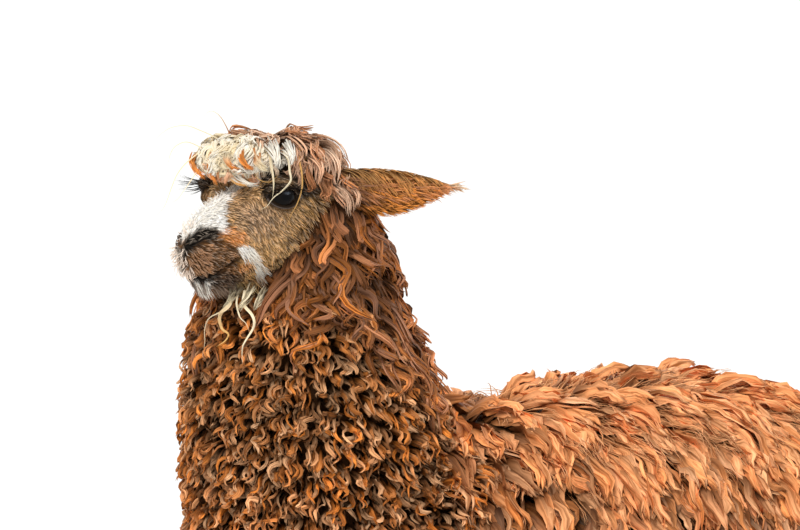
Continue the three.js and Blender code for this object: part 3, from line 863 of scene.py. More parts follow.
def seeded_roots(points, faces, spacing, wanted, seed):
    """Roots spread evenly over part of a surface: random places by area, of which one is
    kept in each cell of a lattice as wide as the spacing. `wanted(p)` is a share to keep."""
    r = np.random.default_rng(seed)
    a, b, c = points[faces[:, 0]], points[faces[:, 1]], points[faces[:, 2]]
    area = np.linalg.norm(np.cross(b - a, c - a), axis=1) / 2
    keep = wanted((a + b + c) / 3) > 0
    a, b, c, area = a[keep], b[keep], c[keep], area[keep]
    count = int(5 * area.sum() / spacing**2) + 20
    k = r.choice(len(area), count, p=area / area.sum())
    u, v = r.uniform(size=(2, count))
    u, v = np.where(u + v > 1, 1 - u, u), np.where(u + v > 1, 1 - v, v)
    p = a[k] + u[:, None] * (b - a)[k] + v[:, None] * (c - a)[k]
    cell = np.floor(p / spacing).astype(np.int64) + 10000
    _, first = np.unique(cell[:, 0] * 10**10 + cell[:, 1] * 10**5 + cell[:, 2], return_index=True)
    p = p[np.sort(first)]
    return p[r.uniform(size=len(p)) < wanted(p)]


def unit(v):
    """Vectors divided by their length."""
    return v / (np.linalg.norm(v, axis=-1, keepdims=True) + 1e-9)


def lie_along(way, normal):
    """Direction along the surface nearest to the way that the hair wants to lie."""
    return unit(way - np.sum(way * normal, -1, keepdims=True) * normal)


def evened(rows):
    """Places along each lock, evened out with the steps before and after; the first and
    last stay."""
    rows = rows.copy()
    for _ in range(4):
        rows[:, 1:-1] = (rows[:, :-2] + 2 * rows[:, 1:-1] + rows[:, 2:]) / 4
    return rows


def walked(root, length, turn, way, foot, steps):
    """Line that each lock's middle follows: from its root step by step along the lie of
    the coat, turned by its own angle, and set back on the surface after each step. Gives
    feet, normals, directions and sideways directions, as (locks, steps + 1, 3)."""
    p, n, _ = foot(root)
    walk = []
    for _ in range(steps + 1):
        d = lie_along(way(p), n)
        b = np.cross(n, d)
        d = np.cos(turn)[:, None] * d + np.sin(turn)[:, None] * b
        walk.append((p, n, d, np.cross(n, d)))
        p, n, _ = foot(p + d * (length / steps)[:, None])
    feet, *ways = (evened(np.stack(rows, 1)) for rows in zip(*walk))
    return feet, *(unit(rows) for rows in ways)


def blades(line, up, width, thick, ragged):
    """Closed blades along lines: at each step a section of two edges and an outer ridge,
    all run together at the tip, with a face closing the root. `line` and `up` are
    (locks, steps + 1, 3), `width` and `thick` (locks, steps + 1), and each edge strays by up
    to the `ragged` share of the width. Gives points, faces, and each point's share along
    and across."""
    locks, steps = line.shape[0], line.shape[1] - 1
    along = unit(np.gradient(line, axis=1))
    aside = unit(np.cross(along, up))
    out = np.cross(aside, along)
    half = width[..., None] / 2
    uneven = np.random.default_rng(locks).uniform(-ragged, ragged, (2, *line.shape[:2], 1))
    edge0 = line - (1 + uneven[0]) * half * aside
    edge1 = line + (1 + uneven[1]) * half * aside
    ridge = line + thick[..., None] * out
    body = np.stack([edge0, edge1, ridge], 2)[:, :-1].reshape(locks, 3 * steps, 3)
    points = np.concatenate([body, line[:, -1:]], 1)
    k = 3 * np.arange(steps - 1)[:, None]
    wall = [[0, 1, 3], [1, 4, 3], [1, 2, 4], [2, 5, 4], [2, 0, 5], [0, 3, 5]]
    faces = [(k + w).reshape(-1, 3) for w in np.array(wall)]
    e, tip = 3 * (steps - 1), 3 * steps
    faces.append(np.array([[0, 2, 1], [e, e + 1, tip], [e + 1, e + 2, tip], [e + 2, e, tip]]))
    faces = np.concatenate(faces)
    faces = (faces[None] + (np.arange(locks) * (3 * steps + 1))[:, None, None]).reshape(-1, 3)
    share = np.append(np.repeat(np.arange(steps) / steps, 3), 1.0)
    across = np.append(np.tile([-1.0, 1.0, 0.0], steps), 0.0)
    return points.reshape(-1, 3), faces, share, across


PATCH_HALF, PATCH_LONG = 0.0015, 0.003  # half width, length of a lock's patch on the map


def coat_piece(
    name, line, up, width, thick, root, root_colour, tip_colour, unwrap, material, seed,
    rim=0.3, ragged=0.12, slot="fleece", from_dark=(0.0, 0.75),
):
    """A piece of coat from blades: mesh folded crisply along each blade's edges and ridge;
    tint from the root's colour to the tip's between the shares `from_dark`, with the edges
    paler by the share `rim`; and the OFBake map, in which each lock is a patch 0.003 wide
    at its root's place on the hide's unwrap."""
    points, faces, share, across = blades(line, up, width, thick, ragged)
    locks, each = len(line), len(share)
    made = mesh_object(name, points * MM, outward(points, faces))
    ends = np.empty(2 * len(made.data.edges), np.int32)
    made.data.edges.foreach_get("vertices", ends)
    column = ends.reshape(-1, 2) % each
    fold = (column[:, 0] % 3 == column[:, 1] % 3) & (column.max(1) < each - 1)
    made.data.attributes.new("sharp_edge", "BOOLEAN", "EDGE").data.foreach_set("value", fold)
    # most callers give roots far darker than the tips: painted shade deep in the coat, which shows
    # in the gaps between the locks
    grade = eased(*from_dark, share)[None, :, None]
    tint = root_colour[:, None] + (tip_colour - root_colour)[:, None] * grade
    tint = tint * (1 + rim * np.abs(across) * share)[None, :, None]
    shift = np.random.default_rng(seed).uniform(-50, 50, (3, locks, 1))
    strand = np.stack([across + shift[0], share + shift[1], np.zeros(each) + shift[2]], -1)
    paint(made, tint.reshape(-1, 3), strand.reshape(-1, 3))
    u, v = unwrap(root)
    u, v = u[:, None] + PATCH_HALF * across, v[:, None] + PATCH_LONG * (share - 0.5)
    corner = np.empty(len(made.data.loops), np.int32)
    made.data.loops.foreach_get("vertex_index", corner)
    patch = np.stack([u, v], -1).reshape(-1, 2)[corner]
    bake = made.data.uv_layers.new(name="OFBake")
    bake.data.foreach_set("uv", patch.astype(np.float32).ravel())
    made.data.materials.append(material)
    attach(made, "root")


def coat_pieces(parts, line, up, width, thick, root, root_colour, tip_colour, *rest, **more):
    """A coat cut into pieces: `parts` gives each piece's name, and which locks are its."""
    for name, part in parts.items():
        locks = (a[part] for a in (line, up, width, thick, root, root_colour, tip_colour))
        coat_piece(name, *locks, *rest, **more)


def two_sides(name, root):
    """A coat's parts to the animal's left and right."""
    return {name + "_left": root[:, 0] >= 0, name + "_right": root[:, 0] < 0}


def on_map(angle, share):
    """Place on an unwrap: an angle round a form and a share of its length, 0.01 inside."""
    return 0.01 + 0.98 * (angle / (2 * np.pi) + 0.5), 0.01 + 0.98 * np.clip(share, 0, 1)


def neck_unwrap(p):
    """Unwrap of the neck: angle round its axis, and height."""
    angle = np.arctan2(p[:, 0], p[:, 1] - through(neck_axis, p[:, 2]))
    return on_map(angle, (p[:, 2] - 500) / 750)


body_normals = corner_normals(body_points, body_faces, 3)
on_body = surface_map(body_points, body_normals, 8, 6)


def fanned(p):
    """The way the neck's locks hang: down, and spread fore and aft from below the jaw."""
    y = p[..., 1] - through(neck_axis, p[..., 2])
    return np.stack([0 * y, 0.12 + 0.003 * y, 0 * y - 1], -1)


def tresses(
    roots, way, steps, members, length, depth, spread, tie, wave, curl, width, thick, lift, seed,
    foot=on_body, roll=0.0, twist=0.0, blunt=3, loose=1.0,
):
    """Centre lines of locks in bunches. Each bunch walks the coat's lie from its root, and
    its members start `spread` apart and draw together by the share `tie` at the tips. A
    member rises from the hide to `depth` in the first third, swings sideways in a `wave`
    of (mm, turns) shared by its bunch, winds in a `curl` of (mm, turns), the more on its
    own the larger `loose` is, and its tip lifts by `lift`. The blade leans over by about
    `roll` radians, turns by up to `twist` turns along its length, and narrows later the
    larger `blunt` is. Gives lines, outward directions, widths, thicknesses and the number
    of the bunch."""
    r = np.random.default_rng(seed)
    bunches = len(roots)
    bunch = np.repeat(np.arange(bunches), members)
    count = len(bunch)

    def per_bunch(low, high):
        """A random number for each bunch, given to all of its locks."""
        return r.uniform(low, high, bunches)[bunch][:, None]

    def per_lock(low, high):
        """A random number for each lock."""
        return r.uniform(low, high, count)[:, None]

    length = length * r.uniform(0.75, 1.25, bunches)
    turn = r.normal(0, 0.16, bunches)
    walk = walked(roots, length, turn, way, foot, steps)
    feet, normal, ahead, aside = (np.repeat(rows, members, 0) for rows in walk)
    s = np.linspace(0, 1, steps + 1)[None, :]
    offset = np.tile(np.linspace(-0.5, 0.5, members), bunches) + r.normal(0, 0.12, count)
    level = (np.broadcast_to(depth, bunches)[bunch])[:, None] * per_lock(0.78, 1.1)
    rise = 1 - (1 - np.minimum(1, s / 0.42)) ** 2
    phase = per_bunch(0, 2 * np.pi) + r.normal(0, 0.15, count)[:, None]
    own = per_bunch(0, 2 * np.pi) + loose * per_lock(0, 2 * np.pi)
    hand = np.where(r.uniform(size=bunches) < 0.5, 1, -1)[bunch][:, None]
    sway = wave[0] * per_bunch(0.6, 1.3) * s**0.7
    wind = curl[0] * (per_bunch(0.6, 1.3) * per_lock(0.8, 1.2)) * eased(0.05, 0.6, s)
    turns = curl[1] * (per_bunch(0.75, 1.25) + 0.15 * loose * r.normal(size=count)[:, None])
    circle = own + hand * 2 * np.pi * turns * s
    side = (spread * offset)[:, None] * (1 - tie * s**1.6)
    side = side + sway * np.sin(phase + 2 * np.pi * wave[1] * s) + wind * np.cos(circle)
    high = 1 + (level - 1) * rise + lift * s**3 * per_lock(0.2, 1)
    swell = 0.8 * np.sin(circle) * np.minimum(1, high / (wind + 1)) * wind
    back = 0.6 * wind * np.sin(circle + 0.8)
    middle = evened(feet + high[..., None] * normal)
    line = middle + side[..., None] * aside + swell[..., None] * normal + back[..., None] * ahead
    body = (0.55 + 0.45 * np.minimum(1, s / 0.25)) * (1 - s**blunt) ** 0.7
    wide = width * per_lock(0.7, 1.35) * body
    lean = roll * r.normal(size=count)[:, None] + 2 * np.pi * twist * s * per_lock(-1, 1)
    up = np.cos(lean)[..., None] * normal + np.sin(lean)[..., None] * aside
    return line, up, wide, np.repeat(thick * (0.35 + 0.65 * body), count, 0), bunch


def varied(colour, bunch, seed, between=0.16, within=0.08):
    """Each lock's colour: its bunch's, with a random brightness for each bunch and a
    smaller one for each lock."""
    r = np.random.default_rng(seed)
    level = np.exp(r.normal(0, between, len(colour)))[bunch]
    return colour[bunch] * (level * np.exp(r.normal(0, within, len(bunch))))[:, None]


# MAUVE stands for the sky's reflection on the wet locks, a painted sheen where it is mixed into
# their tips; PALE_TIP is pale tips, partly their own colour, partly painted highlight
MAUVE, PALE_TIP = dye(0.74, 0.57, 0.50), dye(0.90, 0.72, 0.56)
fleece = hair_material(
    "fleece", roughness=0.42, dark=(0.30, 0.22, 0.13), light=(1.5, 1.52, 1.5),
    fine=(2.6, 1.5, 1.0), bump=1.0, gloss=0.2,
)


def head_wool(p):
    """1 where wool grows on the head or neck, 0 on the short hair of the face."""
    h = from_head(p)
    border = wool_border(h[:, 2]) + 7 * eased(10, -15, h[:, 2])
    face = (h[:, 1] < border) & (h[:, 2] > -60) & (h[:, 1] < 180)
    return np.where(face, 0.0, 1.0)


def near_face(p):
    """How deep the wool is by the short hair of the face: a share, 0.25 at its border and 1
    from 34 mm on."""
    h = from_head(p)
    away = np.maximum(h[:, 1] - wool_border(h[:, 2]), -60 - h[:, 2])
    return 0.25 + 0.75 * eased(0, 34, away)


def neck_zone(p):
    """1 on the neck ahead of the slope where the trunk begins."""
    edge = 60 * (patchy(p, 60, 17) - 0.5) - 205
    return head_wool(p) * (p[:, 1] < edge) * (p[:, 2] > 470)


def long_edge(p):
    """Height where the long locks' roots end: just below the jaw, lower on the nape."""
    return 1035 - 85 * eased(-370, -270, p[:, 1]) + 12 * np.sin(p[:, 0] / 23)


def long_zone(p):
    """1 where the neck's long locks grow, up to the edge of the crown's mop."""
    h = from_head(p)
    crown = (h[:, 2] > 40) & (h[:, 1] < 205)
    return neck_zone(p) * (p[:, 2] > long_edge(p)) * ~crown


def crimp_zone(p):
    """1 on the neck below the long locks, half of it low between neck and shoulders."""
    hidden = eased(640, 560, p[:, 2]) * eased(-380, -300, p[:, 1])
    return neck_zone(p) * (p[:, 2] <= long_edge(p) + 25) * (1 - 0.5 * hidden)


def gathered(roots, size, seed):
    """Draws roots together in clusters about `size` mm across in x, y and z: gives each
    root's nearness to the middle of its cluster, 1 there and 0 midway to the next, and the
    way to that middle as a share of the size."""
    place = roots / np.array(size)
    order = np.random.default_rng(seed).permutation(len(roots))
    _, first = np.unique(np.floor(place[order]).astype(int), axis=0, return_index=True)
    middle = place[order[first]]
    gap = np.linalg.norm(place[:, None] - middle[None], axis=-1)
    nearest = gap.argmin(1)
    toward = middle[nearest] - place
    return np.clip(1 - gap.min(1) / 0.65, 0, 1), toward


roots = seeded_roots(body_points, body_faces, 11.5, long_zone, 11)
near, toward = gathered(roots, (24, 24, 50), 15)
line, up, wide, deep, bunch = tresses(
    roots, lambda p: fanned(p) + 0.5 * toward, steps=13, members=4,
    length=62 * (0.65 + 0.7 * patchy(roots, 60, 2)),
    depth=(WOOL_NECK - 4) * (0.66 + 0.45 * near) * near_face(roots),
    spread=14, tie=0.9, wave=(8, 1.4), curl=(5.0, 1.2), width=5.6, thick=1.6, lift=4, seed=12,
    roll=0.4, twist=0.25, loose=0.12,
)
# painted light and shade: darker at each cluster's edge for the shade in the gaps, lighter near the
# face where the wool lies in shade, roots dark as painted shade deep in the coat, and some tips
# mixed towards MAUVE as a painted sheen
lit = (0.15 + 0.55 * near) * (2.8 - 1.8 * near_face(roots))
base = varied(wool_colour(roots) * lit[:, None], bunch, 13, between=0.22, within=0.24)
painted_sheen = np.random.default_rng(4).uniform(0, 0.55, len(base)) ** 1.5 * (0.3 + near[bunch])
coat_pieces(
    two_sides("neck_locks", roots[bunch]), line, up, wide, deep, roots[bunch], 0.07 * base,
    mixed(1.3 * base, MAUVE, painted_sheen), neck_unwrap, fleece, 14,
)

for part, low, high, spacing, steps in (("upper", 770, 1100, 9.7, 9), ("lower", 400, 770, 15.0, 8)):
    grain = spacing / 9.7  # curls grow coarser as they are seeded wider
    roots = seeded_roots(
        body_points, body_faces, spacing,
        lambda p: crimp_zone(p) * (p[:, 2] > low) * (p[:, 2] <= high), 21,
    )
    near, toward = gathered(roots, (21 * grain, 21 * grain, 16 * grain), 25)
    line, up, wide, deep, bunch = tresses(
        roots, lambda p: fanned(p) + 0.6 * toward, steps=steps, members=2, length=23 * grain,
        depth=(WOOL_NECK - 4) * (0.5 + 0.55 * near**0.7) * near_face(roots),
        spread=6.5 * grain, tie=0.45, wave=(3, 1.2), curl=(3.1 * grain, 1.35),
        width=5.6 * grain, thick=1.5, lift=4, seed=22, roll=0.6, twist=0.8, loose=0.5,
    )
    # painted shade: darker at each cluster's edge and at the roots; some tips mixed towards
    # PALE_TIP as a painted highlight
    lit = wool_colour(roots) * (0.22 + 0.78 * near)[:, None]
    base = varied(lit, bunch, 23, between=0.22, within=0.24)
    painted_sheen = np.random.default_rng(5).uniform(0, 0.85, len(base)) ** 1.8
    coat_pieces(
        two_sides("crimped_wool_" + part, roots[bunch]), line, up, wide, deep, roots[bunch],
        0.07 * base, mixed(1.4 * base, PALE_TIP, painted_sheen), neck_unwrap, fleece, 24,
    )

# ======================================================================================
# Wool of the trunk: flat matted locks like shingles, hanging down the ribs and laid back
# over the spine, orange with pale rims, and dark here and there in patches.
# ======================================================================================
def combed_back(p):
    """The way the trunk's wool lies: down the sides and back."""
    y = p[..., 1]
    return np.stack([0 * y, 0.12 + 0.25 * eased(-200, 60, y), -1 + 0 * y], -1)


def along_trunk(p):
    """Unwrap of the trunk: angle round its middle line, and place along it."""
    middle = (through(back_line, p[:, 1]) + through(belly_line, p[:, 1])) / 2
    angle = np.arctan2(p[:, 0], middle - p[:, 2])
    return on_map(angle, (p[:, 1] - CHEST_Y) / (RUMP_Y - CHEST_Y))


def on_leg(p):
    """1 on the legs: below the belly, or inside a limb's own oval a little above it."""
    jag = 36 * (patchy(p, 50, 18) - 0.5)
    inside = p[:, 2] < 468 + jag
    for leg in legs.values():
        x = (np.abs(p[:, 0]) - through(leg["x"], p[:, 2])) / through(leg["across"], p[:, 2])
        y = (p[:, 1] - through(leg["y"], p[:, 2])) / through(leg["deep"], p[:, 2])
        inside |= (x * x + y * y < 1) & (p[:, 2] < 530 + jag)
    return np.where(inside, 1.0, 0.0)


def on_tail(p):
    """1 on the tail: a strip down the middle of the rump's end."""
    behind = p[:, 1] - (RUMP_Y - 26 - 60 * eased(820, 870, p[:, 2]))
    return np.where((behind > 0) & (np.abs(p[:, 0]) < 46) & (p[:, 2] > 630), 1.0, 0.0)


def trunk_zone(p):
    """1 on what neck, legs and tail leave of the body."""
    return (neck_zone(p) == 0) * (1 - on_leg(p)) * (1 - on_tail(p)) * head_wool(p)


FRONT_END = 120  # where the coat's front pieces meet its rear ones
matted = hair_material(
    "matted", roughness=0.5, dark=(0.38, 0.25, 0.14), light=(1.38, 1.36, 1.34),
    fine=(1.6, 1.5, 1.0), bump=0.9, gloss=0.14,
)
roots = seeded_roots(body_points, body_faces, 18.1, trunk_zone, 31)
top = eased(BACK_Z - 190, BACK_Z - 60, roots[:, 2])
near, toward = gathered(roots, (48, 48, 70), 35)
uneven = 0.8 + 0.36 * patchy(roots, 50, 12)
withers = 1 + 0.4 * top * eased(-110, -180, roots[:, 1])
line, up, wide, deep, bunch = tresses(
    roots, lambda p: combed_back(p) + 0.35 * toward, steps=8, members=3, length=54 + 12 * top,
    depth=(WOOL_TRUNK - 4) * (0.5 + 0.55 * near) * uneven * withers,
    spread=15, tie=0.4, wave=(4.5, 1.5), curl=(2.3, 1.5), width=9.5, thick=1.9, lift=3, seed=32,
    roll=0.4, twist=0.3, blunt=3.5, loose=0.8,
)
wide = wide * (1 + 0.35 * top[bunch])[:, None]
ahead = eased(-30, -190, roots[:, 1])
rump = eased(60, 260, roots[:, 1]) * eased(BACK_Z - 320, BACK_Z - 120, roots[:, 2])
# painted light and shade: darker at each cluster's edge for the shade in the gaps, painted light on
# top of the back and on the rump, and darker towards the front
lit = (0.08 + 0.37 * near + (0.7 + 0.6 * near) * top + 0.45 * rump) * (1 - 0.4 * ahead)
base = wool_colour(roots) * lit[:, None]
base = mixed(base, 0.3 * BELLY_BROWN, 0.7 * (patchy(roots, 24, 36) > 0.87))  # dark patches here and there
base = varied(base, bunch, 33, between=0.15, within=0.2)
high = top[bunch]
# tips brighter on top of the back as painted light, mixed towards MAUVE as a painted sheen and
# towards PALE_TIP, pale tips that are partly painted highlight
sheen_and_pale_tips = np.random.default_rng(6).uniform(0, 0.8, (2, len(base))) ** 1.5
tip = (1.15 + 0.3 * high)[:, None] * base
tip = mixed(tip, 0.8 * MAUVE, 0.8 * sheen_and_pale_tips[0] * (1 - 0.6 * high))
tip = mixed(tip, PALE_TIP, (0.7 + 0.3 * high) * sheen_and_pale_tips[1])
fore = roots[bunch, 1] < FRONT_END
quarters = {}
for end, there in (("front", fore), ("rear", ~fore)):
    for name, side in two_sides("trunk_wool_" + end, roots[bunch]).items():
        quarters[name] = side & there
# roots dark as painted shade deep in the coat, less so on top of the back
coat_pieces(
    quarters, line, up, wide, deep, roots[bunch], (0.06 + 0.32 * high)[:, None] * base, tip,
    along_trunk, matted, 34, rim=0.5, ragged=0.5, from_dark=(0.1, 0.85),
)


def spine_zone(p):
    """1 along the top of the back and rump, fading down the sides."""
    return trunk_zone(p) * eased(BACK_Z - 120, BACK_Z - 50, p[:, 2]) * eased(-150, -60, p[:, 1])


roots = seeded_roots(body_points, body_faces, 17, spine_zone, 37)
line, up, wide, deep, bunch = tresses(
    roots, lambda p: combed_back(p) + 0.5 * (patchy(p, 40, 19)[:, None] - 0.5),
    steps=5, members=3, length=46,
    depth=(WOOL_TRUNK - 4) * 0.85 * (0.8 + 0.36 * patchy(roots, 50, 12)),
    spread=12, tie=0.1, wave=(4, 0.8), curl=(3, 0.8), width=1.2, thick=0.6, lift=3, seed=38,
)
base = varied(1.1 * wool_colour(roots), bunch, 39, between=0.12, within=0.1)
# roots darker as painted shade; tips half PALE_TIP, partly painted highlight
coat_piece(
    "back_fuzz", line, up, wide, deep, roots[bunch], 0.6 * base, mixed(base, PALE_TIP, 0.5),
    along_trunk, fleece, 39,
)

# ======================================================================================
# Wool of the legs and tail: fleece on the thighs and forearms, shorter and darker towards
# the feet, and a hanging brush of wavy locks on the tail.
# ======================================================================================
def down_leg(p):
    """The lie of the wool on legs and tail: down, and a little back."""
    return np.array([0, 0.12, -1.0])


def leg_unwrap(p):
    """Unwrap of the four legs side by side: angle round each axis, and height."""
    x, y, z = p.T
    hind = (y > 60).astype(float)
    axis_y = np.where(hind > 0, through(legs["hind"]["y"], z), through(legs["front"]["y"], z))
    angle = np.arctan2(x - np.sign(x) * 95, y - axis_y) / (2 * np.pi) + 0.5
    column = 2 * hind + (x > 0)
    return (column + 0.02 + 0.96 * angle) / 4, 0.01 + 0.98 * np.clip(z / 560, 0, 1)


FLEECE_END, SHANK_END = 262, 66  # heights where fleece and shank hair end on the legs


def thigh_zone(p):
    """1 on the fleeced upper part of the legs."""
    return on_leg(p) * (p[:, 2] > FLEECE_END) * (1 - on_tail(p))


def shank_zone(p):
    """1 on the legs from the fleece's end down to the fetlock."""
    return on_leg(p) * (p[:, 2] <= FLEECE_END) * (p[:, 2] > SHANK_END)


roots = seeded_roots(body_points, body_faces, 15.8, thigh_zone, 41)
line, up, wide, deep, bunch = tresses(
    roots, down_leg, steps=6, members=2,
    length=through([(200, 26), (KNEE_Z, 30), (430, 42), (560, 48)], roots[:, 2]),
    depth=through(leg_wool, roots[:, 2]) - 2, spread=9, tie=0.3, wave=(2.5, 1.0),
    curl=(1.6, 1.3), width=7.5, thick=1.6, lift=4, seed=42, roll=0.4, twist=0.3,
)
base = varied(wool_colour(roots), bunch, 43)
# roots dark as painted shade deep in the coat
coat_piece(
    "leg_wool", line, up, wide, deep, roots[bunch], 0.2 * base, 1.3 * base, leg_unwrap, fleece, 44
)
roots = seeded_roots(body_points, body_faces, 10.5, shank_zone, 51)
line, up, wide, deep, bunch = tresses(
    roots, down_leg, steps=4, members=2, length=20, depth=through(leg_wool, roots[:, 2]) - 1,
    spread=5, tie=0.3, wave=(1.0, 1.0), curl=(0.6, 1.0), width=3.7, thick=1.3, lift=2, seed=52,
)
base = varied(wool_colour(roots), bunch, 53)
# roots darker as painted shade deep in the hair
coat_piece(
    "shank_hair", line, up, wide, deep, roots[bunch], 0.5 * base, 1.3 * base, leg_unwrap, fleece, 54
)


foot_normals = corner_normals(foot_points, foot_faces, 2)
on_foot = surface_map(foot_points, foot_normals, 4, 3)


def toward_toes(p):
    """The lie of the feet's hair: down the pastern and ahead over the toes."""
    return np.array([0, -0.7, -0.8])


def foot_zone(p):
    """1 on the feet, from just over the soles up into the shank's hair."""
    return np.where((p[:, 2] > 5) & (p[:, 2] < 74), 1.0, 0.0)


roots = seeded_roots(foot_points, foot_faces, 5.6, foot_zone, 55)
line, up, wide, deep, bunch = tresses(
    roots, toward_toes, steps=3, members=1, length=11 + 4 * eased(30, 70, roots[:, 2]),
    depth=1.6, spread=0.5, tie=0, wave=(0.5, 0.6), curl=(0, 1), width=2.0, thick=0.8, lift=0.8,
    seed=56, foot=on_foot,
)
line[..., 2] = np.maximum(line[..., 2], 0.8)
base = varied(wool_colour(roots), bunch, 57)
# roots darker as painted shade deep in the hair
coat_piece(
    "foot_hair", line, up, wide, deep, roots, 0.6 * base, 1.2 * base, leg_unwrap, fleece, 58
)


def tail_unwrap(p):
    """Unwrap of the tail: angle round its root, and height."""
    return on_map(np.arctan2(p[:, 0], p[:, 1] - RUMP_Y), (p[:, 2] - 600) / 290)


roots = seeded_roots(body_points, body_faces, 10.5, on_tail, 61)
near, toward = gathered(roots, (26, 26, 60), 65)
line, up, wide, deep, bunch = tresses(
    roots, lambda p: down_leg(p) + 0.4 * toward, steps=9, members=4, length=74,
    depth=(WOOL_TAIL + 6) * (0.7 + 0.5 * near), spread=14, tie=0.6, wave=(8, 1.3),
    curl=(3.0, 1.2), width=5.5, thick=1.8, lift=5, seed=62, roll=0.5, twist=0.3, loose=0.3,
)
# painted shade: darker at each cluster's edge and at the roots; tips mixed towards MAUVE as a
# painted sheen
lit = wool_colour(roots) * (0.65 + 0.5 * near)[:, None]
base = varied(lit, bunch, 63, between=0.2, within=0.15)
tip = mixed(1.25 * base, MAUVE, np.random.default_rng(9).uniform(0, 0.6, len(base)))
coat_piece(
    "tail_wool", line, up, wide, deep, roots[bunch], 0.15 * base, tip, tail_unwrap, fleece, 64
)

# ======================================================================================
# Topknot. A mop of wet wool over the crown, brown and stringy behind, with a cream forelock
# swept forward over the brow, orange tufts under it, and long thin strands that hang
# before the eyes and curl ahead of the forehead.
# ======================================================================================
cream_wool = hair_material(
    "cream_wool", roughness=0.45, dark=(0.88, 0.8, 0.68), light=(1.08, 1.08, 1.08),
    fine=(1.7, 1.5, 1.0), bump=0.6, gloss=0.15,
)


def turned(v):
    """A direction given in the head's own space, as it lies in the world."""
    c, s = math.cos(HEAD_TURN), math.sin(HEAD_TURN)
    x, y, z = v[..., 0], v[..., 1], v[..., 2]
    return np.stack([c * x - s * y, s * x + c * y, z], -1)


def swept_forward(p):
    """The forelock's lie: ahead and down over the brow, parting a little to each side."""
    h = from_head(p)
    stray = 1.1 * (patchy(h, 30, 22) - 0.5)
    return turned(np.stack([0.012 * h[..., 0] + stray, -1 + 0 * stray, -0.75 + 0 * stray], -1))


def off_crown(p):
    """The crown's lie: away from its middle to all sides, and down."""
    x, y, z = np.moveaxis(from_head(p), -1, 0)
    return turned(np.stack([x / 60, (y - 138) / 60, -0.8 + 0 * z], -1))


def head_unwrap(p):
    """Unwrap of the head: angle round its long middle line, and place along it."""
    h = from_head(p)
    return on_map(np.arctan2(h[:, 0], 5 - h[:, 2]), (h[:, 1] + 10) / 260)


def forelock_zone(p):
    """1 on the front of the crown, to a wavy edge."""
    h = from_head(p)
    edge = 98 + 8 * np.sin(h[:, 0] / 9)
    return np.where((h[:, 1] < edge) & (h[:, 2] > 67) & (np.abs(h[:, 0] + 4) < 46), 1.0, 0.0)


def crown_zone(p):
    """1 on the rest of the crown, down to the ears, and on the forelock's two ends."""
    h = from_head(p)
    edge = 92 + 8 * np.sin(h[:, 0] / 9)
    low = np.interp(h[:, 1], [60, 112, 135, 160, 190], [80, 79, 72, 55, 46])
    mop = (h[:, 1] > edge) | ((h[:, 1] > 62) & (np.abs(h[:, 0] + 4) >= 42))
    return np.where(mop & (h[:, 1] < 212) & (h[:, 2] > low), 1.0, 0.0)


roots = seeded_roots(body_points, body_faces, 8, crown_zone, 71)
place = from_head(roots)
near, toward = gathered(roots, (20, 20, 20), 75)
white_drip = np.linalg.norm(place - np.array([50, 100, 92]), axis=1)
far_front = eased(5, -25, place[:, 0]) * eased(125, 100, place[:, 1])
low_front = eased(88, 80, place[:, 2]) * eased(150, 120, place[:, 1])
line, up, wide, deep, bunch = tresses(
    roots, lambda p: off_crown(p) + 0.8 * toward, steps=10, members=5,
    length=34 + 10 * eased(120, 190, place[:, 1]) - 14 * low_front
    - 12 * eased(26, 16, white_drip) - 8 * far_front,
    depth=(9 + 9 * eased(95, 140, place[:, 1])) * (1 - 0.4 * far_front) * (0.6 + 0.6 * near),
    spread=11, tie=0.75, wave=(6, 1.2), curl=(3.4, 1.3), width=2.3, thick=1.0, lift=3, seed=72,
    roll=0.5, twist=0.4, loose=0.1,
)


def front_height(p):
    """Height over a line that falls towards the nape, uneven by up to 6 mm."""
    h = from_head(p)
    return h[:, 2] + 0.4 * (h[:, 1] - 70) + 12 * (patchy(p, 20, 4) - 0.5)


crown_hair = mixed(dye(0.70, 0.47, 0.31), dye(0.90, 0.76, 0.66), patchy(roots, 26, 8))
pale_front = eased(116, 106, front_height(roots)) * eased(124, 106, place[:, 1] + 0.6 * place[:, 0])
crown_hair = mixed(crown_hair, CREAM, 0.9 * pale_front)
crown_hair = mixed(crown_hair, WHITE, eased(24, 14, white_drip))
base = varied(crown_hair, bunch, 73, between=0.2, within=0.2)
# roots dark as painted shade deep in the mop
coat_piece(
    "crown_wool", line, up, wide, deep, roots[bunch], 0.14 * base, 1.4 * base, head_unwrap,
    fleece, 74,
)
roots = seeded_roots(body_points, body_faces, 6, forelock_zone, 81)
place = from_head(roots)
near, toward = gathered(roots, (16, 16, 16), 85)
line, up, wide, deep, bunch = tresses(
    roots, lambda p: swept_forward(p) + 0.5 * toward, steps=10, members=5,
    length=np.clip(4 + 1.2 * (place[:, 2] - 73), 8, 34),
    depth=(5 + 4.5 * near) * (1 - 0.5 * eased(5, -25, place[:, 0])),
    spread=9, tie=0.7, wave=(5.5, 1.1), curl=(3.2, 1.3), width=2.7, thick=1.1, lift=3, seed=82,
    roll=0.4, twist=0.2, loose=0.1,
)
pale_front = eased(118, 108, front_height(roots))
base = mixed(dye(0.82, 0.62, 0.46), mixed(CREAM, WHITE, near), pale_front)
base = varied(base, bunch, 83, between=0.06, within=0.05)
gold = eased(82, 76, place[:, 2] + 8 * patchy(roots, 15, 9))
tip = mixed(1.1 * base, PATCH_ORANGE, 0.8 * gold[bunch])
coat_piece(
    "forelock", line, up, wide, deep, roots[bunch], 0.85 * base, tip, head_unwrap, cream_wool, 84,
    rim=0.0,
)

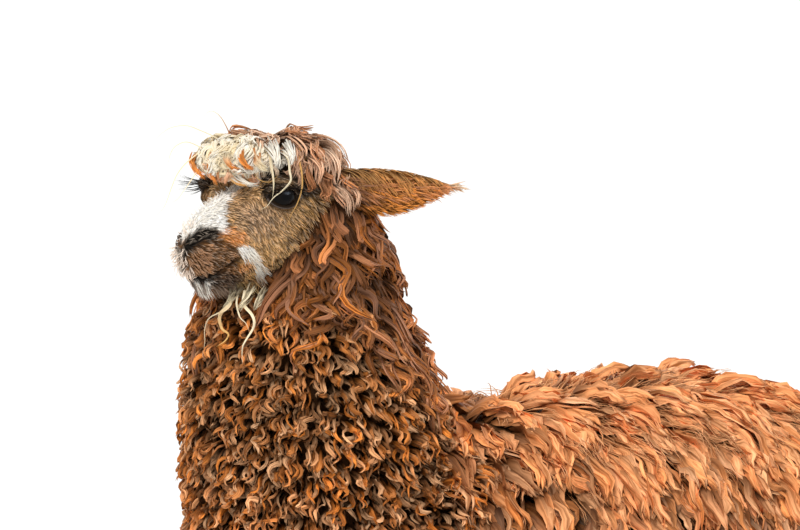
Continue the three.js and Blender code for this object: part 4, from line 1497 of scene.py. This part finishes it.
# strands: places in mm from the nose, width in mm, and colours at root and tip
ORANGE_CREAM = dye(0.86, 0.68, 0.42)
strands = [
    ([(37, 92, 95), (48, 83, 82), (59, 77, 62), (63, 73, 51), (63, 71, 43)], 4.2, CREAM, CREAM),
    ([(50, 100, 90), (60, 98, 82), (68, 92, 71), (73, 89, 62), (70, 82, 53), (63, 73, 44),
      (59, 67, 35), (52, 60, 30)], 3.0, CREAM, CREAM),
    ([(52, 122, 94), (62, 112, 81), (71, 107, 68), (75, 103, 52), (72, 98, 35), (68, 94, 25),
      (67, 89, 11)], 2.6, ORANGE_CREAM, ORANGE_CREAM),
    ([(20, 80, 94), (25, 75, 83), (32, 72, 71), (42, 72, 62), (55, 75, 60), (59, 81, 65),
      (59, 87, 72)], 1.8, CREAM, ORANGE_CREAM),
    ([(-15, 75, 98), (-20, 65, 104), (-25, 50, 111), (-31, 34, 117), (-39, 16, 114),
      (-49, 1, 99)], 1.7, CREAM, CREAM),
    ([(-18, 87, 104), (-22, 83, 116), (-26, 79, 125), (-30, 70, 131), (-33, 62, 126),
      (-31, 64, 121)], 1.5, NECK_BROWN, CREAM),
    ([(-30, 56, 92), (-36, 39, 99), (-41, 27, 94), (-42, 20, 82), (-41, 19, 71)], 1.6,
     CREAM, CREAM),
    ([(-32, 60, 90), (-34, 36, 76), (-38, 28, 65), (-40, 22, 52), (-43, 15, 33), (-47, 9, 24),
      (-51, 3, 19)], 1.8, CREAM, CREAM),
    ([(-32, 50, 66), (-33, 33, 48), (-36, 26, 39), (-42, 16, 33)], 1.3, CREAM, CREAM),
    # under the jaw
    ([(10, 64, -58), (15, 57, -66), (10, 51, -77), (-11, 48, -88), (-18, 48, -100),
      (-20, 50, -114), (-22, 48, -133)], 2.2, CREAM, CREAM),
    ([(10, 66, -58), (13, 56, -71), (8, 46, -83), (8, 50, -97), (18, 50, -102), (17, 46, -109),
      (6, 41, -117)], 6.0, CREAM, ORANGE_CREAM),
    ([(16, 66, -60), (20, 60, -72), (25, 60, -84), (41, 54, -90), (46, 54, -99)], 2.6,
     CREAM, CREAM),
    ([(24, 70, -58), (29, 63, -70), (45, 60, -81), (48, 58, -93), (43, 53, -105), (40, 49, -115),
      (39, 50, -135)], 4.6, CREAM, CREAM),
]


def smooth_line(places, steps):
    """Even points on the smooth curve through places: each coordinate is a cubic line over
    the distance run."""
    places = np.array(places, float)
    run = np.append(0, np.cumsum(np.linalg.norm(np.diff(places, axis=0), axis=1)))
    at = np.linspace(0, run[-1], steps + 1)
    return np.stack([through(list(zip(run, places[:, k])), at) for k in range(3)], -1)


lines = np.stack([on_head(smooth_line(p, 24)) for p, *_ in strands])
s = np.linspace(0, 1, 25)[None, :]
wide = np.array([w for _, w, *_ in strands])[:, None] * (1 - 0.75 * s) * (1 - s**6)
out = unit(lines - on_head(np.array([[[0.0, 150, 30]]])))
coat_piece(
    "long_strands", lines, out, wide, 0.8 * wide, lines[:, 0],
    np.array([c for *_, c, _ in strands]), np.array([c for *_, c in strands]), head_unwrap,
    cream_wool, 85, rim=0.0, ragged=0.05,
)

# wisps: places in mm from the nose, number of hairs, how far apart they start, and colours
wisps = [
    ([(-40, 56, 84), (-41, 53, 77), (-35, 53, 69), (-26, 56, 60)], 18, 7,
     PATCH_ORANGE, PATCH_ORANGE),
    ([(-8, 52, 84), (-7, 47, 77), (-5, 47, 66), (-1, 50, 55)], 16, 6, PATCH_ORANGE, PATCH_ORANGE),
    ([(18, 52, 88), (22, 46, 82), (26, 48, 76), (31, 54, 73)], 14, 8, CREAM, PATCH_ORANGE),
    ([(30, 60, 90), (36, 55, 84), (40, 58, 77), (44, 64, 74)], 14, 8, PATCH_ORANGE, PATCH_ORANGE),
    ([(40, 68, 88), (47, 64, 82), (50, 68, 76), (54, 74, 73)], 12, 8, PATCH_ORANGE, CREAM),
    ([(6, 64, 76), (14, 56, 69), (26, 59, 61), (36, 65, 57), (44, 69, 58)], 16, 8,
     FAWN_GREY, WHITE),
    ([(2, 62, 72), (12, 57, 66), (24, 59, 59), (34, 64, 56)], 9, 7, WHITE, FAWN),
    ([(40, 90, 97), (50, 86, 92), (58, 82, 84), (61, 79, 74)], 16, 10, WHITE, WHITE),
    ([(50, 104, 97), (60, 100, 92), (69, 95, 86), (72, 90, 78)], 14, 9, WHITE, WHITE),
    ([(10, 70, -56), (14, 62, -61), (14, 56, -68), (8, 52, -76)], 16, 9,
     0.8 * CREAM, 0.62 * CREAM),
    ([(26, 74, -56), (30, 66, -61), (30, 60, -68), (26, 57, -77)], 16, 9,
     0.8 * CREAM, 0.62 * CREAM),
    ([(40, 84, -56), (43, 76, -60), (44, 70, -67), (41, 66, -76)], 14, 9, 0.7 * CREAM, 0.6 * CREAM),
]
for wisp, (places, hairs, spread, root_colour, tip_colour) in enumerate(wisps):
    r = np.random.default_rng(800 + wisp)
    middle = on_head(smooth_line(places, 10))
    s = np.linspace(0, 1, 11)[None, :, None]
    stray = spread * r.normal(size=(hairs, 1, 3)) * 0.4 * (1 - 0.85 * s)
    turns = s * r.uniform(0.6, 1.3, (hairs, 1, 1)) + r.uniform(size=(hairs, 1, 3))
    swing = 1.6 * np.sin(2 * np.pi * turns)
    lines = middle[None] + stray + swing * s
    out = unit(lines - on_head(np.array([[[0.0, 110, 40]]])))
    wide = 2.2 * r.uniform(0.6, 1.3, (hairs, 1)) * (1 - s[..., 0] ** 2) ** 0.8
    shade = np.exp(r.normal(0, 0.12, (hairs, 1)))
    # roots darker than tips as painted shade
    coat_piece(
        "wisp_%d" % (wisp + 1), lines, out, wide, 0.5 * wide, lines[:, 0],
        0.6 * root_colour * shade, 1.1 * tip_colour * shade, head_unwrap, cream_wool, 810 + wisp,
        rim=0.0,
    )

# ======================================================================================
# Short hair of the face. Fine flat hairs, five to ten millimetres long, that run back from
# the nose, down the cheeks and round the eyes, and stand off the lips, chin and blaze.
# ======================================================================================
head_points, head_faces = loft(on_head(head_skin()))
head_faces = outward(head_points, head_faces)
head_normals = corner_normals(head_points, head_faces, 2)
bare_head = surface_map(head_points, head_normals, 2.5, 3)


def on_face(p):
    """Foot, normal and height on the face: the head's own surface, or the throat's where
    that lies outside it below the jaw."""
    inner, outer = bare_head(p), on_body(p)
    proud = np.sum((outer[0] - inner[0]) * inner[1], -1)
    throat = (proud > 0.3) & (proud < 25) & (from_head(p)[..., 2] < -30)
    return tuple(
        np.where(throat[..., None] if own.ndim > throat.ndim else throat, other, own)
        for own, other in zip(inner, outer)
    )


def face_zone(p):
    """1 on the face up to the wool, but not in the eyes, on the lips or in the nostrils."""
    h = from_head(p)
    x, y, z = np.abs(h[:, 0]), h[:, 1], h[:, 2]
    open_eye = (lid_place(h)[0] < 1.3) & (x > 20) & (np.abs(y - EYE[1]) < 30)
    lips = np.abs(z - through(mouth_line, y)) < 2.2
    slit = near_segment(np.stack([x, y, z], -1), *NOSTRIL)[0] < 2.5
    hidden = (y > wool_border(z) + 8) | open_eye | (lips & (y < 56)) | slit
    return np.where(hidden, 0.0, 1.0)


def face_lie(p):
    """The way the face's hair lies: back from the nose, out and down off the bridge, down
    the cheeks, and down off the chin."""
    h = from_head(p)
    x, y, z = h[..., 0], h[..., 1], h[..., 2]
    side = np.clip(x / 14, -1, 1)
    muzzle = eased(62, 36, y)[..., None]
    top = np.interp(y, [0, 36, 67, 94], [6, 26, 42, 56])
    bridge = (eased(-8, 2, z - top) * eased(100, 80, y))[..., None]
    chin = (eased(-40, -46, z) * eased(40, 26, y))[..., None]
    swirl = 0.5 * (patchy(h, 38, 21) - 0.5)
    one = np.ones_like(x)
    way = np.stack([0.1 * side, 0.62 * one + swirl, -0.75 * one], -1)
    way = way + muzzle * (np.stack([0.15 * side, one, -0.3 * one], -1) - way)
    way = way + bridge * (np.stack([0.75 * side, 0.7 * one, -0.2 * one], -1) - way)
    way = way + chin * (np.stack([0.2 * side, 0.1 * one, -one], -1) - way)
    return turned(way)


roots = seeded_roots(head_points, head_faces, 2.35, face_zone, 91)
place = from_head(roots)
under_chin = eased(-40, -50, place[:, 2]) * eased(60, 30, place[:, 1])
standing = 1 + 2.2 * eased(12, -2, place[:, 1]) + 1.2 * under_chin
near, toward = gathered(roots, (8, 8, 8), 95)
cheek = eased(60, 120, place[:, 1])
line, up, wide, deep, bunch = tresses(
    roots, lambda p: face_lie(p) + 0.35 * toward, steps=3, members=1,
    length=7.5 + 4 * cheek + 7 * eased(-38, -50, place[:, 2]),
    depth=(0.9 + 0.5 * near) * standing + 0.5 * cheek, spread=0.5, tie=0, wave=(0.5, 0.6),
    curl=(0, 1), width=1.05, thick=0.55, lift=1.5, seed=92, foot=on_face,
)
base = face_colour(place)
pale = np.clip(base.mean(1) / WHITE.mean(), 0, 1)[:, None] ** 2
# painted shade: darker at each clump's edge, less so in white hair
base = base * (0.35 + 0.95 * near)[:, None] ** (1 - pale)
base = varied(base, bunch, 93, between=0.18, within=0.12) ** (1 - 0.8 * pale)
# some tips paled as a painted highlight; roots dark as painted shade, less so in white hair
painted_highlight = 0.42 * np.random.default_rng(8).uniform(0, 1, len(base)) ** 2
short_hair = hair_material(
    "short_hair", roughness=0.5, dark=(0.86, 0.84, 0.81), light=(1.25, 1.25, 1.25),
    fine=(1.0, 1.0, 1.0), bump=0.2, gloss=0.12,
)
coat_pieces(
    two_sides("face_hair", place), line, up, wide, deep, roots, (0.15 + 0.85 * pale) * base,
    mixed(1.3 * base, dye(0.94, 0.86, 0.78), painted_highlight), head_unwrap, short_hair, 94, slot="face",
)


def whisker_zone(p):
    """1 where longer hairs stand off the face: lips, chin, bridge and the edge of the jaw."""
    h = from_head(p)
    x, y, z = np.abs(h[:, 0]), h[:, 1], h[:, 2]
    lips = (y < 16) & (z < -8)
    chin = (y < 26) & (z < -44) & (x < 16)
    bridge = (x < 12) & (z > 4) & (y < 75)
    jaw = (z < -46) & (y < 100)
    streak = (z < -10) & (y > 40) & (face_colour(h).mean(-1) > 0.6 * WHITE.mean())
    share = np.where(chin | streak, 1.0, np.where(lips | jaw, 0.5, 0.35 * bridge))
    return share * face_zone(p)


roots = seeded_roots(head_points, head_faces, 2.6, whisker_zone, 97)
place = from_head(roots)
chin = eased(-42, -46, place[:, 2])
lip = (place[:, 1] < 12) * (place[:, 0] < 8)
line, up, wide, deep, bunch = tresses(
    roots, face_lie, steps=5, members=1,
    length=9 + 7 * chin + 7 * (place[:, 1] > 40) * (place[:, 2] < -10), depth=3 + 3 * lip,
    spread=0.5, tie=0, wave=(1.5, 0.6), curl=(0, 1), width=0.8, thick=0.5, lift=5, seed=98,
    foot=on_face,
)
droop = 9 * chin[bunch, None] * np.linspace(0, 1, 6) ** 1.5
line = line - np.array([0, 0, 1.0]) * droop[..., None]
front = (place[:, 1] < 16) & (place[:, 0] < 7) & (place[:, 2] > -44)
fringe = eased(-44, -50, place[:, 2]) * eased(56, 64, place[:, 1])
tone = mixed(face_colour(place), dye(0.95, 0.88, 0.82), 0.12 + 0.7 * front)
tone = mixed(tone, dye(0.84, 0.76, 0.56), 0.75 * fringe)
base = varied(tone, bunch, 99, between=0.15, within=0)
coat_piece(
    "whiskers", line, up, wide, deep, roots, 0.8 * base, 1.1 * base, head_unwrap, short_hair, 99,
    slot="face",
)

# ======================================================================================
# Hair of the ears: short on the blade, longer along both edges and at the pale tip, and
# hanging across the hollow.
# ======================================================================================
DOWN = np.array([0, 0, -1.0])


def ear_hair(side):
    """Hairs of one ear, three in ten of them along its two edges: each runs towards the
    tip, leaning out at an edge and falling in the hollow. Gives lines, outward directions,
    widths, roots, and for each hair how golden and how light it is."""
    r = np.random.default_rng(100)
    count, steps = 1600, 4
    t = r.uniform(0.02, 0.98, count)
    edge = r.uniform(size=count) < 0.3
    which = np.where(r.uniform(size=count) < 0.5, 0.5, 1.5) * np.pi
    a = np.where(edge, which + r.normal(0, 0.25, count), r.uniform(0, 2 * np.pi, count))

    def at(t, a):
        """Place on the ear's hide."""
        return ear_leaf(side, t, a, EAR_SKIN)

    root = at(t, a)
    ahead = unit(at(np.minimum(t + 0.02, 1), a) - at(t - 0.02, a))
    n = unit(np.cross(unit(at(t, a + 0.05) - at(t, a - 0.05)), ahead))
    middle = (at(t, 0 * a) + at(t, 0 * a + np.pi)) / 2
    n *= np.sign(np.sum(n[edge] * (root - middle)[edge]))
    hollow = (np.cos(a) > 0.15) & ~edge
    fall = np.where(hollow, 0.9, 0.0)[:, None] * DOWN * eased(0.95, 0.6, t)[:, None]
    lean = np.where(edge, 0.3, 0.0)[:, None] * unit(root - middle)
    d = ahead + lean + fall + 0.15 * r.normal(size=(count, 3))
    d = unit(d - 0.9 * np.sum(d * n, -1, keepdims=True) * n * ~edge[:, None])
    size = np.where(edge | hollow, r.uniform(14, 27, count), r.uniform(10, 16, count))
    size = size * (1 - 0.3 * t) + 9 * eased(0.88, 0.97, t)
    share = np.linspace(0, 1, steps + 1)[None, :, None]
    stand = (0.3 + 2.0 * np.sin(share * 2.4)) * np.where(edge, 0.8, 1.0)[:, None, None]
    run = d[:, None] * size[:, None, None] * share
    line = root[:, None] + run + stand * n[:, None] + DOWN * 3 * share**2
    wide = (1 - share[..., 0] ** 2) * r.uniform(0.6, 1.3, count)[:, None]
    golden = np.where(hollow, 1.25, 1.0) * np.where(edge, 0.9, 1.0)
    light = 1 - 0.6 * hollow * np.cos(a) ** 2 * (r.uniform(size=count) < 0.7)
    return line, np.repeat(n[:, None], steps + 1, 1), wide, root, golden, light


both_ears = zip(ear_hair(1), ear_hair(-1))
line, up, wide, roots, golden, light = (np.concatenate(pair) for pair in both_ears)


def ear_unwrap(p):
    """Unwrap of the ears, one above the other: angle round the blade, and place along."""
    h = from_head(p)
    across = np.abs(h[:, 0]) - 60 - 0.3 * (h[:, 1] - 170)
    u, v = on_map(np.arctan2(h[:, 2] - EAR_ROOT[2], across), (h[:, 1] - 160) / 170)
    return (u + (h[:, 0] > 0)) / 2, v


one_each = np.arange(len(roots))
base = varied(ear_colour(roots) * light[:, None], one_each, 103, between=0.35, within=0)
tip = mixed(1.25 * base, dye(0.95, 0.75, 0.50), 1.6 * (golden - 1))
tip = mixed(tip, MAUVE, 4 * (1 - golden))
# roots dark as painted shade under the hair
coat_piece(
    "ear_hair", line, up, 1.5 * wide, 0.6 * wide, roots, 0.25 * base, tip, ear_unwrap, short_hair,
    104, slot="ear",
)

# ======================================================================================
# Eyes: large dark brown balls with a clear domed cornea over a wide pupil, always wet, in
# lids of thin black skin with long straight lashes.
# ======================================================================================
def eyeball(side):
    """Rings round the line of sight: a sphere, with a low dome ahead for the cornea."""
    turn = (np.pi * (np.arange(48) + 0.5) / 48)[:, None]
    angle = (2 * np.pi * np.arange(64) / 64)[None, :]
    size = (EYE_RADIUS - 0.6) + 0.9 * eased(1.0, 0.1, turn)
    ray = (
        np.cos(turn)[..., None] * GAZE
        + (np.sin(turn) * np.cos(angle))[..., None] * EYE_ACROSS
        + (np.sin(turn) * np.sin(angle))[..., None] * EYE_UP
    )
    return on_head((EYE + ray * size[..., None]) * np.array([side, 1, 1]))


wet_eye, tree, shader = new_material("wet_eye", Roughness=0.05, Specular_IOR_Level=0.08)
iris = added(tree, "Attribute")
iris.attribute_name = "tint"
linked(tree, (iris, "Color", shader, "Base Color"))
for side, word in ((1, "left"), (-1, "right")):
    points, faces = loft(eyeball(side))
    ball = mesh_object("eyeball_" + word, points * MM, outward(points, faces))
    ray = unit(from_head(points) * np.array([side, 1, 1]) - EYE)
    across, high = ray @ EYE_ACROSS, ray @ EYE_UP
    wide_pupil = np.hypot(across / 0.42, high / 0.2)
    tone = mixed(dye(0.06, 0.045, 0.04), dye(0.02, 0.02, 0.03), eased(1.1, 0.9, wide_pupil))
    tone = mixed(tone, dye(0.05, 0.04, 0.03), eased(0.6, 0.75, np.hypot(across, high)))
    # painted reflection: a streaked blue-grey band across the upper front of the ball, for the
    # sky's reflection in the wet eye
    painted_reflection = hump(high - 0.27, 0.06) * hump(across + 0.04, 0.16) * (ray @ GAZE > 0)
    tone = mixed(tone, dye(0.50, 0.54, 0.60), 0.8 * painted_reflection * (0.6 + 0.4 * np.sin(60 * across)))
    paint(ball, tone)
    ball.data.materials.append(wet_eye)
    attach(ball, "root")
    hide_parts("eye_" + word)

LASH_POINTS = 8


def lashes(side):
    """Lashes of one eye: from the upper lid's rim out and ahead, sagging and turned up."""
    r = np.random.default_rng(110)
    count = 46
    turn = np.linspace(0.10, 0.97, count) * np.pi + r.normal(0, 0.03, count)
    rim = 1.08 + r.uniform(0, 0.06, count)
    ray = from_eye(LID_WIDE * rim * np.cos(turn), LID_HIGH * rim * np.abs(np.sin(turn)) ** 1.33)
    stray = 0.12 * r.normal(size=(count, 3))
    way = unit(ray + 0.55 * GAZE + np.array([0.1, -0.35, -0.15]) + stray)
    share = np.linspace(0, 1, LASH_POINTS)[None, :, None]
    size = (r.uniform(18, 34, count) * (0.6 + 0.4 * np.sin(turn)))[:, None, None]
    bow = np.array([0, 0, 1]) * size * (0.22 * share**2 - 0.25 * share)
    line = (EYE + ray * (EYE_RADIUS + 2))[:, None] + way[:, None] * size * share + bow
    return on_head(line * np.array([side, 1, 1]))


line = np.concatenate([lashes(1), lashes(-1)])
up = np.tile(unit(turned(np.array([0.0, -0.4, 1.0]))), (len(line), LASH_POINTS, 1))
s = np.linspace(0, 1, LASH_POINTS)
wide = np.tile(0.75 * (1 - s**2) + 0.05, (len(line), 1))
dark = np.tile(NEAR_BLACK * 0.8, (len(line), 1))
coat_piece(
    "lashes", line, up, wide, 0.6 * wide, line[:, 0], dark, dark, head_unwrap, short_hair, 111
)

# ======================================================================================
# Nails: two to a foot, curved caps of dark horn with fine growth lines, grown out of the
# end of each toe and worn flat below.
# ======================================================================================
horn, tree, shader = new_material("horn", Roughness=0.38)
own_space = added(tree, "TexCoord")
growth = added(tree, "TexWave", Scale=160, Distortion=2.5)
growth.bands_direction = "Y"
tone = added(tree, "ValToRGB")
tone.color_ramp.elements[0].color = (0.014, 0.011, 0.01, 1)
tone.color_ramp.elements[1].color = (0.05, 0.04, 0.034, 1)
ridge = added(tree, "Bump", Strength=0.4, Distance=0.0004)
linked(
    tree, (own_space, "Object", growth, "Vector"), (growth, "Fac", tone, "Fac"),
    (tone, "Color", shader, "Base Color"), (growth, "Fac", ridge, "Height"),
    (ridge, "Normal", shader, "Normal"),
)


def nail_cap(low, high):
    """A nail in its box: rings from root to tip, keeled above, narrowing and curving down
    to a blunt tip, flat below."""
    t, angle = stations(26, 28)
    across, up = superellipse(1, 1, angle, 2.3)
    size = rounded(t, 0.35, 0.16, 2.0) * (1 - 0.35 * t)
    middle, half = (low + high) / 2, (high - low) / 2
    x = middle[0] + half[0] * size * across * (1 - 0.35 * np.maximum(up, 0))
    y = high[1] - (high[1] - low[1]) * t + 0 * angle
    z = middle[2] + half[2] * (0.45 - 0.85 * t**1.4) + 0.62 * half[2] * size * up
    return np.stack([x, y, np.clip(z, low[2], high[2])], -1)


for end in legs:
    for word in ("left", "right"):
        for toe in ("inner", "outer"):
            node = end + "_" + word + "_nail_" + toe
            low, high = (1000 * np.array(corner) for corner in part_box(node))
            points, faces = loft(nail_cap(low, high))
            nail = mesh_object("horn_" + node, points * MM, outward(points, faces))
            nail.data.materials.append(horn)
            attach(nail, "root")
            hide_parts(node)

# ======================================================================================
# Stage: a plain pale floor, an even overcast light with a soft broad key from above and
# ahead, a faint rim light and a small low one for the eye's glint, and the camera at the
# animal's left, a little above its eye.
# ======================================================================================
floor_grid = np.array([(-60, -60, 0), (60, -60, 0), (60, 60, 0), (-60, 60, 0)], float)
floor = mesh_object("floor", floor_grid, np.array([[0, 1, 2], [0, 2, 3]]))
pale, _, _ = new_material("pale_floor", Base_Color=(0.90, 0.90, 0.89, 1), Roughness=0.9)
floor.data.materials.append(pale)

world = bpy.data.worlds.new("overcast")
bpy.context.scene.world = world
world.use_nodes = True
tree = world.node_tree
sky = set_inputs(tree.nodes["Background"], dict(Color=(0.94, 0.97, 1.0, 1), Strength=0.46))
white = added(tree, "Background", Color=(1, 1, 1, 1), Strength=1.0)
path, seen, either = added(tree, "LightPath"), added(tree, "Math"), added(tree, "Math")
seen.operation = either.operation = "MAXIMUM"
choice = added(tree, "MixShader")
linked(
    tree, (path, "Is Camera Ray", seen, 0), (path, "Is Glossy Ray", seen, 1),
    (seen, "Value", either, 0), (path, "Is Transmission Ray", either, 1),
    (either, "Value", choice, "Fac"), (sky, "Background", choice, 1),
    (white, "Background", choice, 2), (choice, "Shader", tree.nodes["World Output"], "Surface"),
)


def soft_sun(name, azimuth, elevation, spread, strength, colour):
    """Even light from one part of the sky: degrees round from ahead towards the left,
    degrees up, and degrees that it spreads over."""
    data = bpy.data.lights.new(name, "SUN")
    data.angle, data.energy, data.color = math.radians(spread), strength, colour
    lamp = bpy.data.objects.new(name, data)
    bpy.context.scene.collection.objects.link(lamp)
    a, e = math.radians(azimuth), math.radians(elevation)
    out = Vector((math.sin(a) * math.cos(e), -math.cos(a) * math.cos(e), math.sin(e)))
    lamp.rotation_euler = out.to_track_quat("Z", "Y").to_euler()


soft_sun("key", 40, 50, 26, 2.5, (1, 0.98, 0.95))
soft_sun("rim", 215, 48, 40, 0.7, (1, 0.97, 0.93))
soft_sun("glint", 113, 11, 9, 0.25, (1, 1, 1))

view = bpy.data.cameras.new("view")
view.lens, view.sensor_width = 179.55, 36
camera = bpy.data.objects.new("view", view)
bpy.context.scene.collection.objects.link(camera)
azimuth, elevation = math.radians(57), math.radians(6)
backward = Vector((
    math.sin(azimuth) * math.cos(elevation), -math.cos(azimuth) * math.cos(elevation),
    math.sin(elevation),
))
camera.location = (3.6676, -2.599, 1.5248)
camera.rotation_euler = backward.to_track_quat("Z", "Y").to_euler()
bpy.context.scene.camera = camera
bpy.context.scene.view_settings.view_transform = "Standard"
